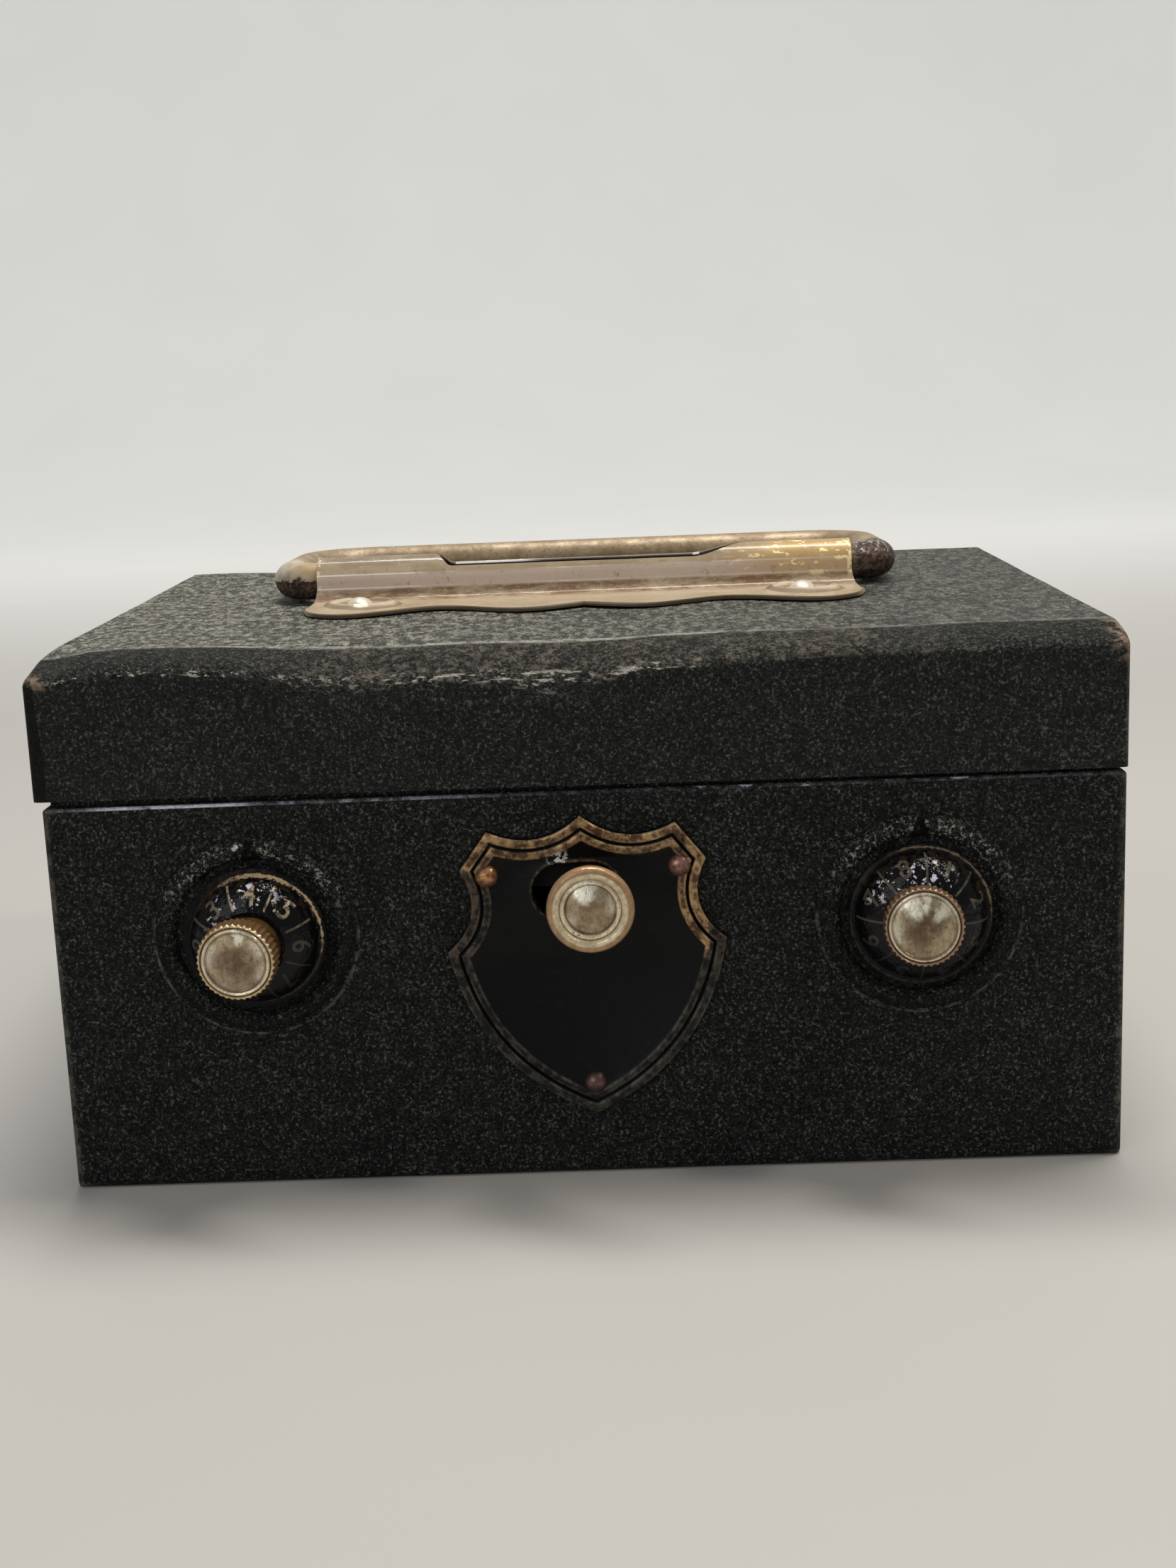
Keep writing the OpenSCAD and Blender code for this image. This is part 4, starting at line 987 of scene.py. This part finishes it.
def make_lid():
    bm = bmesh.new()
    straight = half_w - LID_SIDE_R
    columns = [(0.0, straight * (2 * i / LID_COLUMNS - 1)) for i in range(LID_COLUMNS + 1)]
    for k in range(1, SIDE_ROWS + 1):
        angle = math.pi / 2 * k / SIDE_ROWS
        inset = LID_SIDE_R * (1 - math.cos(angle))
        reach = straight + LID_SIDE_R * math.sin(angle)
        columns = [(inset, -reach)] + columns + [(inset, reach)]
    rows = [[Vector((x, y, z)) for y, z in lid_profile(inset)] for inset, x in columns]
    add_grid(bm, rows)
    outline = lid_profile(LID_SIDE_R)[WALL_ROWS:-WALL_ROWS]
    for side in (-1, 1):
        cap = []
        for k in range(WALL_ROWS + 1):
            level = k / WALL_ROWS
            cap.append([Vector((side * half_w, y, parting_z + (z - parting_z) * level)) for y, z in outline])
        add_grid(bm, cap)
    weld(bm)
    for vertex in bm.verts:
        vertex.co = bashed(vertex.co)
    face_up(bm, Vector((0, 0, case_top)))
    cutter = coin_slot_cutter()
    slot = ("BOOLEAN", {"operation": "DIFFERENCE", "solver": "EXACT", "object": cutter})
    mesh = settle("lid_skin", bm, 40, [sheet(LID_SHEET), slot])
    bpy.data.objects.remove(cutter)
    return mesh


# Shield: embossed plate with two soft border ridges and a beaded slot, each a list of (inset, height)
RELIEF = [
    (0.0, 0.0), (0.03, 0.45), (0.14, 0.7), (0.36, 0.86), (0.66, 0.9), (0.96, 0.86), (1.22, 0.72), (1.4, 0.5),
    (1.5, 0.42), (1.62, 0.5), (1.78, 0.72), (2.0, 0.84), (2.24, 0.87), (2.48, 0.82), (2.72, 0.64), (2.94, 0.5)
]
SLOT_RELIEF = [(0.0, 0.0), (0.0, 0.5), (0.08, 0.64), (0.24, 0.68), (0.42, 0.62), (0.6, 0.5)]
CREST_FOOT = 0.56
CREST_TOP = 0.74
SHIELD_W = 36.6
SHIELD_H = 40.7
SHIELD_DROP = 3.4
SHIELD_TURN = 1.2
SLOT_R = 3.7
SLOT_TRAVEL = 3.9
MITRE_LIMIT = 0.35
CLEAR_SHARE = 0.985


def shield_corners():
    """Smooth stretches of the upright shield's right half, each a list of points, from upper tip to foot."""
    top = parting_z - SHIELD_DROP
    tip = Vector((0, top))
    ear = Vector((SHIELD_W / 3, top - 1.5))
    notch = Vector((SHIELD_W * 0.44, top - 6.6))
    shoulder = Vector((SHIELD_W / 2, top - 17.4))
    end = Vector((0, top - SHIELD_H))
    return [
        bowed(tip, ear, -2.1, 14),
        bowed(ear, notch, 0.0, 6),
        bowed(notch, shoulder, -2.3, 14),
        bowed(shoulder, end, 4.0, 26) + [end],
    ]


def askew(point):
    """Where a point of the upright shield lies on the real one, turned about its middle."""
    middle = Vector((0, parting_z - SHIELD_DROP - SHIELD_H / 2))
    turn = Matrix.Rotation(math.radians(SHIELD_TURN), 2)
    return middle + turn @ (point - middle)


def shield_outline():
    """Points of the whole outline, clockwise from the upper tip, and the set of its corners' places in it."""
    right, corners = [], set()
    for stretch in shield_corners():
        corners.add(len(right))
        right += stretch
    corners.add(len(right) - 1)
    left = [Vector((-point.x, point.y)) for point in reversed(right[1:-1])]
    whole = right + left
    corners |= {(len(whole) - i) % len(whole) for i in corners}
    return whole, corners


def moved_in(points, corners, distance):
    """The outline moved in by a distance, keeping its number of points and its sharp corners."""
    count = len(points)
    def inward(a, b):
        along = (b - a).normalized()
        return Vector((along.y, -along.x))
    def shifted(i):
        before = inward(points[i - 1], points[i])
        after = inward(points[i], points[(i + 1) % count])
        middle = (before + after).normalized()
        return points[i] + middle * (distance / max(middle.dot(after), MITRE_LIMIT))
    def clearance(point):
        return min((point - nearest_on(points[j - 1], points[j], point)).length for j in range(count))
    ordered = sorted(corners)
    moved = []
    for i in range(count):
        point = shifted(i)
        if i not in corners and clearance(point) < distance * CLEAR_SHARE:
            nearest = min(ordered, key=lambda corner: min(abs(corner - i), count - abs(corner - i)))
            point = shifted(nearest)
        moved.append(point)
    return moved


def nearest_on(start, end, point):
    chord = end - start
    share = min(max((point - start).dot(chord) / chord.length_squared, 0.0), 1.0)
    return start + share * chord


def slot_ring(radius):
    return long_ring(latch_x, latch_x - SLOT_TRAVEL, latch_z, radius, 20)


def add_ring(bm, points, height):
    return [bm.verts.new((point.x, front_y - height, point.y)) for point in points]


def join_rings(bm, first, second):
    """Quads between two rings; they face forwards where clockwise rings shrink or anticlockwise ones grow."""
    count = len(first)
    for i in range(count):
        j = (i + 1) % count
        bm.faces.new((first[i], second[i], second[j], first[j]))


def fill_between(bm, outer, inner, forwards):
    """Flat face with a hole between two rings of vertices, facing forwards or backwards."""
    loops = [[Vector((vertex.co.x, vertex.co.z, 0)) for vertex in ring] for ring in (outer, inner)]
    vertices = outer + inner
    points = loops[0] + loops[1]
    for a, b, c in tessellate_polygon(loops):
        turns_left = (points[b] - points[a]).cross(points[c] - points[a]).z > 0
        corners = (a, b, c) if turns_left == forwards else (a, c, b)
        bm.faces.new([vertices[i] for i in corners])


def make_shield():
    bm = bmesh.new()
    points, corners = shield_outline()
    border = []
    for inset, height in RELIEF:
        border.append(add_ring(bm, [askew(point) for point in moved_in(points, corners, inset)], height))
    slot = [add_ring(bm, slot_ring(SLOT_R + out), height) for out, height in SLOT_RELIEF]
    for rings in (border, slot):
        for first, second in zip(rings, rings[1:]):
            join_rings(bm, first, second)
    fill_between(bm, border[-1], slot[-1], True)
    fill_between(bm, border[0], slot[0], False)
    weld(bm, 0.002)
    return settle("shield_skin", bm, 50)


# Handle bracket: one sheet from the scalloped flange up the wall and round the roll
BRACKET_SHEET = 0.6
ROLL_R = 3.48
ROLL_Y = bracket_high.y - ROLL_R
ROLL_Z = bracket_high.z - ROLL_R
WALL_Y = ROLL_Y - ROLL_R
HANDLE_X = (bracket_low.x + bracket_high.x) / 2
FLANGE_HALF = (bracket_high.x - bracket_low.x) / 2
ROLL_HALF = FLANGE_HALF - 0.5
FOLD_R = 2.0
LOBE_X = 8.0
LOBE_PITCH = 26.0
LOBE_RISE = 2.9
FLANGE_DEPTH = 18.2
FLANGE_TIP = 10.0
OPENING_LEFT = 22.4
OPENING_RIGHT = 24.5
OPENING_SLOPE_LEFT = 2.2
OPENING_SLOPE_RIGHT = 8.0
OPENING_DEPTH = 0.46
REAR_CUT_BACK = 32
PRESSED_RING_R = 4.6
PRESSED_RING_H = 0.8
RIVET_X = 33.0
RIVET_Y = WALL_Y - 6.6
BRACKET_COLUMNS = 150
FLANGE_ROWS = 30
FOLD_ROWS = 6
UPRIGHT_ROWS = 3
ROLL_ROWS = 14


def flange_edge(x):
    """Front edge of the flange at x from the bracket's middle: two scallops a side, then a rounded end."""
    lobe_y = WALL_Y - FLANGE_DEPTH
    tip_y = WALL_Y - FLANGE_TIP
    end_lobe = LOBE_X + LOBE_PITCH
    if abs(x) < end_lobe:
        return lobe_y + LOBE_RISE * (1 - math.cos(2 * math.pi * (abs(x) - LOBE_X) / LOBE_PITCH))
    end = (abs(x) - end_lobe) / (FLANGE_HALF - end_lobe)
    return tip_y - (tip_y - lobe_y) * math.sqrt(max(0.0, 1 - end * end))


def flange_height(x, y):
    """Upper face of the flange: pressed rings round the rivets and an edge that lifts a little."""
    z = case_top + BRACKET_SHEET
    for side in (-1, 1):
        from_rivet = math.hypot(x - side * RIVET_X + HANDLE_X, y - RIVET_Y)
        ring = PRESSED_RING_H * hump(from_rivet, PRESSED_RING_R, 0.7)
        z += ring + 0.12 * smooth_step(from_rivet, PRESSED_RING_R - 0.4, PRESSED_RING_R - 1.2)
    edge = y - flange_edge(x)
    z += (0.26 + 0.18 * wavy(x * 0.09, 1.3, 0)) * smooth_step(edge, 3.2, 0.0)
    return z


def opening_angle(x):
    """Angle on the roll, from the top, at which the opening's front edge lies."""
    left = smooth_step(x, -OPENING_LEFT, OPENING_SLOPE_LEFT - OPENING_LEFT)
    right = smooth_step(x, OPENING_RIGHT, OPENING_RIGHT - OPENING_SLOPE_RIGHT)
    return math.acos(1 - min(left, right) * OPENING_DEPTH)


def roll_end(x):
    """Angle on the roll, from three o'clock, at which its rear edge ends: short of the coin slot."""
    beside = smooth_step(abs(x), COIN_SLOT_L / 2 - 0.6, COIN_SLOT_L / 2 + 0.6)
    return math.radians(-90 + REAR_CUT_BACK * (1 - beside))


def roll_point(x, radius, angle):
    return Vector((x, ROLL_Y + radius * math.cos(angle), ROLL_Z + radius * math.sin(angle)))


def bracket_front(flange_x, roll_x, wave):
    """Points up one column of the sheet, over the flange, the fold and the wall to the roll's opening."""
    edge = flange_edge(flange_x)
    fold_start = WALL_Y - FOLD_R
    fold_foot = case_top + BRACKET_SHEET
    fold_top = fold_foot + FOLD_R
    points = []
    for k in range(FLANGE_ROWS):
        y = edge + (fold_start - edge) * k / FLANGE_ROWS
        points.append(Vector((flange_x, y, flange_height(flange_x, y))))
    for k in range(FOLD_ROWS):
        angle = math.pi / 2 * k / FOLD_ROWS
        x = flange_x + (roll_x - flange_x) * k / FOLD_ROWS
        y = fold_start + FOLD_R * math.sin(angle)
        points.append(Vector((x, y, fold_foot + FOLD_R * (1 - math.cos(angle)))))
    for k in range(UPRIGHT_ROWS):
        level = k / UPRIGHT_ROWS
        points.append(Vector((roll_x, WALL_Y + wave * level, fold_top + (ROLL_Z - fold_top) * level)))
    for k in range(ROLL_ROWS + 1):
        angle = math.pi - (math.pi / 2 - opening_angle(roll_x)) * k / ROLL_ROWS
        points.append(roll_point(roll_x, ROLL_R - wave, angle))
    return points


def bracket_rear(roll_x, wave):
    """Points round the rest of the roll, from the opening's rear edge to the end of the sheet."""
    start = math.pi / 2 - opening_angle(roll_x)
    steps = 2 * ROLL_ROWS
    angles = [start + (roll_end(roll_x) - start) * k / steps for k in range(steps + 1)]
    return [roll_point(roll_x, ROLL_R - wave, angle) for angle in angles]


def make_bracket():
    bm = bmesh.new()
    fronts, rears = [], []
    for i in range(BRACKET_COLUMNS + 1):
        share = 2 * i / BRACKET_COLUMNS - 1
        roll_x = share * ROLL_HALF
        wave = 0.07 * wavy(roll_x * 0.08, 5.0, 0)
        fronts.append(bracket_front(share * FLANGE_HALF, roll_x, wave))
        rears.append(bracket_rear(roll_x, wave))
    add_grid(bm, fronts)
    add_grid(bm, rears)
    weld(bm)
    bmesh.ops.translate(bm, verts=bm.verts[:], vec=(HANDLE_X, 0, 0))
    face_up(bm, Vector((HANDLE_X, WALL_Y - 8, case_top)))
    return settle("bracket_skin", bm, 45, [sheet(BRACKET_SHEET)])


# Dial markings and knobs
BAND_START = Vector((dial_r - 0.7, 1.2))
BAND_END = Vector((4.6, 5.3))
BAND_BOW = 0.9
DIVISIONS = 8
DIGIT_H = 2.7
DIGIT_NARROWING = 0.92
LINE_W = 0.3
LINE_LEAD = 0.36
LINE_END = 0.93
LINE_STEPS = 10
MARK_RISE = 0.03
MARK_SINK = 0.02
KNURL_TEETH = 40
KNURL_DEPTH = 0.22
KNOB_POCKET_R = 4.5
KNOB_FLOOR = 1.0
KNOB_STEPS = 240
# Edges of the knob as (in from its radius, distance from its back or front, share of the knurl's depth), and
# of the lip of its face as (in from its radius, distance past the front)
KNOB_BACK = [(1.0, 0.0, 0), (0.5, 0.12, 0), (0.32, 0.4, 0), (0.26, 0.6, 0), (0.02, 0.72, 1), (0.0, 0.9, 1)]
KNOB_FRONT = [(0.0, 0.6, 1), (0.03, 0.36, 1), (0.12, 0.14, 0.8), (0.26, 0.02, 0.4), (0.4, 0.0, 0)]
FACE_LIP = [(0.0, -0.3), (0.04, -0.1), (0.14, 0.03), (0.28, 0.07), (0.42, 0.02), (0.54, -0.1), (0.62, -0.18)]
FACE_LIP_W = 0.7
FACE_DISH = 0.22
FACE_STEPS = 96
DISH_STEPS = 8
LATCH_POCKET_R = 3.95
LATCH_LIP_R = 4.75


def band_point(share, lift):
    """Radius and height on the dial's bulging band, raised by lift along its normal."""
    chord = BAND_END - BAND_START
    across = Vector((chord.y, -chord.x)).normalized()
    place = BAND_START + share * chord + 4 * share * (1 - share) * BAND_BOW * across
    slope = chord + 4 * (1 - 2 * share) * BAND_BOW * across
    normal = Vector((slope.y, -slope.x)).normalized()
    return place + lift * normal


def on_dial(side, angle, share, lift):
    """World point of a place on a dial's band; the angle is in radians from three o'clock."""
    r, out = band_point(share, lift)
    return Vector((side * dial_x + r * math.cos(angle), front_y - out, dial_z + r * math.sin(angle)))


def add_line(bm, side, angle, start):
    """Thin raised line along the band, from a share of the way across it."""
    rows = []
    for k in range(LINE_STEPS + 1):
        share = start + (LINE_END - start) * k / LINE_STEPS
        half = LINE_W / 2 / band_point(share, 0).x
        offsets = [(-half, -MARK_SINK), (-half, MARK_RISE), (half, MARK_RISE), (half, -MARK_SINK)]
        rows.append([on_dial(side, angle + turn, share, lift) for turn, lift in offsets])
    grid = add_grid(bm, rows)
    for row in grid:
        row.append(row[0])
    for lower, upper in zip(grid, grid[1:]):
        bm.faces.new((lower[3], lower[4], upper[4], upper[3]))
    bm.faces.new(grid[0][:4])
    bm.faces.new(grid[-1][:4])


def digit_points(symbol):
    """Mesh of a plain digit, one unit tall, centred on the origin."""
    curve = bpy.data.curves.new("digit", "FONT")
    set_up(curve, body=symbol, align_x="CENTER", extrude=0.01, offset=0.012, resolution_u=3)
    mesh = applied(new_object("digit", curve))
    tall = max(vertex.co.y for vertex in mesh.vertices)
    for vertex in mesh.vertices:
        vertex.co = Vector((vertex.co.x / tall, vertex.co.y / tall - 0.5, vertex.co.z))
    return mesh


def add_digit(bm, side, symbol, angle, middle):
    """Number on the band; middle is its middle's share of the way from the band's rim to its inner edge."""
    piece = bmesh.new()
    mesh = digit_points(symbol)
    piece.from_mesh(mesh)
    bpy.data.meshes.remove(mesh)
    bmesh.ops.triangulate(piece, faces=piece.faces[:])
    bmesh.ops.subdivide_edges(piece, edges=piece.edges[:], cuts=2, use_grid_fill=True)
    length = (BAND_END - BAND_START).length
    for vertex in piece.verts:
        u, v, w = vertex.co
        share = middle - v * DIGIT_H / length
        radius = band_point(share, 0).x
        lift = MARK_RISE if w > 0 else -MARK_SINK
        vertex.co = on_dial(side, angle - u * DIGIT_H * DIGIT_NARROWING / radius, share, lift)
    loose = plain_mesh("digit", piece)
    bm.from_mesh(loose)
    bpy.data.meshes.remove(loose)


def make_dial_marks(side, first_angle, middle):
    """Numbers 1 to 8, clockwise, with a line halfway between each two."""
    bm = bmesh.new()
    pitch = 360 / DIVISIONS
    for i in range(DIVISIONS):
        angle = first_angle - i * pitch
        add_digit(bm, side, str(i + 1), math.radians(angle), middle)
        add_line(bm, side, math.radians(angle - pitch / 2), middle - LINE_LEAD)
    bmesh.ops.recalc_face_normals(bm, faces=bm.faces[:])
    return settle("dial_marks", bm, 40)


def spin(bm, profile, steps, teeth=0):
    """Solid of revolution about -Y from points (radius, out, share of the knurl's depth)."""
    rows = []
    for k in range(steps + 1):
        angle = 2 * math.pi * k / steps
        tooth = KNURL_DEPTH * (0.5 - 0.5 * math.cos(teeth * angle))
        row = []
        for radius, out, knurled in profile:
            r = radius - knurled * tooth
            row.append(Vector((r * math.cos(angle), -out, r * math.sin(angle))))
        rows.append(row)
    add_grid(bm, rows)
    weld(bm, 0.002)
    bmesh.ops.recalc_face_normals(bm, faces=bm.faces[:])


def lean(bm, side, offset):
    """Moves a knob from the origin to its dial, tilted so that its front lies off the axis by the offset."""
    axis = Vector((offset[0], -knob_front, offset[1]))
    tilt = Vector((0, -1, 0)).rotation_difference(axis).to_matrix().to_4x4()
    place = Matrix.Translation((side * dial_x, front_y, dial_z))
    bmesh.ops.transform(bm, matrix=place @ tilt, verts=bm.verts[:])


def make_knob_cap(side, offset):
    """Knurled cup with a rolled front edge, closed at its back."""
    bm = bmesh.new()
    floor = knob_back + KNOB_FLOOR
    shape = [(0.0, knob_back, 0)]
    shape += [(knob_r - inset, knob_back + up, knurled) for inset, up, knurled in KNOB_BACK]
    shape += [(knob_r - inset, knob_front - down, knurled) for inset, down, knurled in KNOB_FRONT]
    shape += [(KNOB_POCKET_R + 0.1, knob_front - 0.1, 0), (KNOB_POCKET_R, knob_front - 0.3, 0)]
    shape += [(KNOB_POCKET_R, floor, 0), (0.0, floor, 0)]
    spin(bm, shape, KNOB_STEPS, KNURL_TEETH)
    lean(bm, side, offset)
    return settle("knob_cap_skin", bm, 32)


def make_knob_face(side, offset, dome):
    """Disc with a raised rounded lip and a shallow dish that rises to a dome."""
    bm = bmesh.new()
    back = knob_back + KNOB_FLOOR + 0.02
    r = KNOB_POCKET_R - 0.05
    shape = [(0.0, back, 0), (r, back, 0)]
    shape += [(r - inset, knob_front + out, 0) for inset, out in FACE_LIP]
    for k in range(DISH_STEPS + 1):
        share = 1 - k / DISH_STEPS
        out = knob_front - FACE_DISH + dome * (1 - share * share)
        shape.append(((r - FACE_LIP_W) * share, out, 0))
    spin(bm, shape, FACE_STEPS)
    lean(bm, side, offset)
    return settle("knob_face_skin", bm, 35)


# Stage, light and camera
def make_stage():
    """Pale floor that sweeps up into a pale backdrop."""
    bm = bmesh.new()
    front, back, sweep, top, half = -1400, 1500, 500, 1800, 2600
    steps = 16
    line = [Vector((0, front, 0)), Vector((0, back - sweep, 0))]
    for k in range(1, steps + 1):
        angle = math.pi / 2 * k / steps
        line.append(Vector((0, back - sweep + sweep * math.sin(angle), sweep * (1 - math.cos(angle)))))
    line.append(Vector((0, back, top)))
    rows = [[Vector((x, point.y, point.z)) for point in line] for x in (-half, half)]
    add_grid(bm, rows)
    stage = new_object("studio_floor", settle("studio_floor", bm, 60))
    stage.data.materials.append(studio_paper())


def studio_paper():
    """Pale paper that is lit from within for the camera and for reflections, far from the object."""
    m = Finish("studio_paper", tone(184, 181, 176))
    cloud = m.grain(0.01, detail=2.0)
    far = m.fade(m.y, 250, 900)
    m.lay(tone(178, 175, 170), cloud)
    rays = m.tree.nodes.new("ShaderNodeLightPath").outputs
    seen = m.most(*[rays[kind] for kind in ("Is Camera Ray", "Is Glossy Ray", "Is Transmission Ray")])
    m.feed(m.shader.inputs["Emission Color"], m.mix(cloud, tone(216, 217, 213), tone(210, 211, 207)))
    m.feed(m.shader.inputs["Emission Strength"], m.times(seen, far, 0.68))
    return m.paint(0.6)


def add_lamp(name, place, target, width, height, power, colour):
    """Rectangular lamp that looks at its target; places and sizes are in metres, and power in watts."""
    light = bpy.data.lights.new(name, "AREA")
    set_up(light, shape="RECTANGLE", size=width, size_y=height, energy=power, color=colour)
    turn = (Vector(target) - Vector(place)).to_track_quat("-Z", "Y").to_euler()
    set_up(new_object(name, light), location=place, rotation_euler=turn)


def make_light():
    world = bpy.data.worlds.new("studio")
    bpy.context.scene.world = world
    world.use_nodes = True
    background = world.node_tree.nodes["Background"]
    background.inputs["Color"].default_value = (0.80, 0.82, 0.84, 1)
    background.inputs["Strength"].default_value = 0.32
    centre = (0, 0, 0.04)
    add_lamp("ceiling_lamp", (0.10, 0.16, 0.95), centre, 0.60, 0.18, 9.0, (1.0, 0.98, 0.95))
    add_lamp("front_fill", (-0.55, -0.85, 0.55), centre, 0.7, 0.7, 2.4, (0.97, 0.98, 1.0))
    add_lamp("right_glint", (0.42, -0.18, 0.55), (0.03, 0, 0.075), 0.08, 0.08, 0.8, (1.0, 0.93, 0.80))


def make_camera():
    """Camera at the photograph's place, worked out from the box's corners."""
    photo_w, photo_h = 1659, 2212
    focal_px = 2826.0
    place = Vector((5.46, -305.1, 106.68))
    right = Vector((0.99918, 0.00997, -0.03927))
    up = Vector((0.03632, 0.20916, 0.97721))
    camera = bpy.data.cameras.new("photo_camera")
    camera.sensor_fit = "VERTICAL"
    camera.sensor_height = 36.0
    camera.sensor_width = camera.sensor_height * photo_w / photo_h
    camera.lens = focal_px * camera.sensor_height / photo_h
    camera.clip_start = 0.01
    holder = new_object("photo_camera", camera)
    axes = Matrix((right, up, right.cross(up))).transposed()
    holder.matrix_world = Matrix.Translation(place * MM) @ axes.to_4x4()
    bpy.context.scene.camera = holder


bpy.context.scene.view_settings.view_transform = "Standard"
make_camera()
make_light()
make_stage()

lid_paint = wrinkle_paint(
    "lid_wrinkle_paint", (lid_dust, DUST, 0.62), (lid_dashes, PAINT_BLACK, 0.6), (bend_wear, BEND_BROWN, 0.6),
    (bend_highlight, SCUFF_AND_HIGHLIGHT, 0.6), (lid_rim, RUBBED_AND_SHEEN, 0.6), (edge_wear_and_sheen, RUBBED_AND_SHEEN, 0.6), (lid_scuffs, SCUFF_AND_HIGHLIGHT, 0.7),
    (lid_left_shade, PAINTED_SHADE, 0.7), (lid_brown, BARE_BROWN, 0.6), dull_on=on_bend
)
body_paint = wrinkle_paint(
    "body_wrinkle_paint", (edge_wear_and_sheen, RUBBED_AND_SHEEN, 0.6), (shoulder_line, SHINE, 0.4), (ring_shade, PAINTED_SHADE, 0.7),
    (ring_edge, RUBBED_AND_SHEEN, 0.6), (ring_flecks_and_highlight, SCUFF_AND_HIGHLIGHT, 0.6), (ring_notch_shade, PAINTED_SHADE, 0.7), (notch_glint, SHINE, 0.4)
)
make_object("lid_skin", make_lid(), lid_paint, "lid", ["lid_shell"])
make_object("shield_skin", make_shield(), shield_lacquer(), "case", ["shield_plate"])
make_object("bracket_skin", make_bracket(), gold_lacquer(), "lid", ["handle_bracket"])

dress(body_paint, "body_shell")
dress(copper_rivet(), "shield_rivets")
dress(old_brass(), "left_spindle", "right_spindle", "left_bush", "right_bush", "latch_stem")
dress(bare_steel(), "left_bar_guide", "right_bar_guide", "strike",
      "left_tumbler", "right_tumbler", "left_clip", "right_clip", "hinge_pin")
dress(slot_shade_steel(), "slide_bar")
dress(tin_rivet(), "bracket_rivets")
dress(handle_rod(), "handle_bail")
dress(hinge_black(), "body_hinge_leaf", "lid_hinge_leaf", "body_hinge_rivets", "lid_hinge_rivets")

# What differs between the two dials. first_angle is where the 1 stands, in degrees, and digits is where the
# numbers stand across the band. offset is how far its bent spindle puts the knob's front off the axis
# (across, up). line is what is left of the gold line on the enamel (shift across, radius, half its width,
# brightness, sparkle of painted glints). gold is the tone of the numbers and where their wear begins. The tone
# for the middle of the knob's face is its painted dark reflection, lip the width of its bright edge, and
# gleams are the painted highlights on it.
DIALS = {
    "left": {
        "side": -1, "first_angle": 222.5, "digits": 0.62, "offset": (-0.86, -0.36),
        "line": (0.3, 8.5, 0.22, 0.95, 0.6), "gold": (tone(176, 158, 122), 0.44),
        "dome": 0.1, "centre_reflection": tone(106, 86, 62), "lip": 0.5, "rim": PALE_GOLD,
        "gleams": [
            (0.15, 0.3, 1.7, 1.0), (1.0, 0.5, 2.2, 0.45), (-1.3, 0.5, 2.2, 0.45), (2.0, 0.5, 2.4, 0.35)
        ],
    },
    "right": {
        "side": 1, "first_angle": 65.0, "digits": 0.46, "offset": (-1.02, 1.1),
        "line": (0.0, 9.05, 0.18, 0.35, 1.0), "gold": (tone(132, 118, 92), 0.38),
        "dome": 0.5, "centre_reflection": tone(96, 72, 50), "lip": 0.35, "rim": GILT_PINK,
        "gleams": [
            (-0.5, 0.5, 0.7, 0.95), (0.1, 0.2, 1.3, 1.0), (0.88, 0.38, 1.0, 0.8), (-1.7, 0.6, 2.2, 0.45)
        ],
    },
}
for word, dial in DIALS.items():
    side, offset = dial["side"], dial["offset"]
    centre = (side * dial_x + offset[0], dial_z + offset[1])
    gilt = knob_gilt(word + "_knob_gilt", *centre, KNOB_POCKET_R, knob_r + 0.2, KNURL_SHADE_BROWN, dial["rim"], 0.8)
    nickel = knob_nickel(
        word + "_knob_nickel", *centre, KNOB_POCKET_R, dial["centre_reflection"], dial["lip"], 0.4, dial["gleams"]
    )
    body = word + "_dial"
    cap, face = word + "_knob_cap", word + "_knob_face"
    dress(dial_enamel(word + "_dial_enamel", side * dial_x, *dial["line"]), body)
    make_object(cap + "_skin", make_knob_cap(side, offset), gilt, body, [cap])
    disc = make_knob_face(side, offset, dial["dome"])
    make_object(face + "_skin", disc, nickel, body, [face])
    marks = make_dial_marks(side, dial["first_angle"], dial["digits"])
    gold = dial_gold(word + "_dial_gold", side * dial_x, *dial["gold"])
    make_object(word + "_dial_marks", marks, gold, body)

latch_place = (latch_x, latch_z)
latch_gleams = [(-0.3, 0.8, 0.4, 1.0), (1.4, 0.5, 1.6, 0.4), (-2.0, 0.6, 1.6, 0.3)]
latch_gilt = knob_gilt(
    "latch_knob_gilt", *latch_place, LATCH_POCKET_R, LATCH_LIP_R, GILT_BROWN, PEWTER, 0.0
)
latch_nickel = knob_nickel(
    "latch_knob_nickel", *latch_place, LATCH_POCKET_R, tone(134, 110, 78), 0.7, 0.1, latch_gleams
)
dress(latch_gilt, "latch_knob")
dress(latch_nickel, "latch_knob_face")
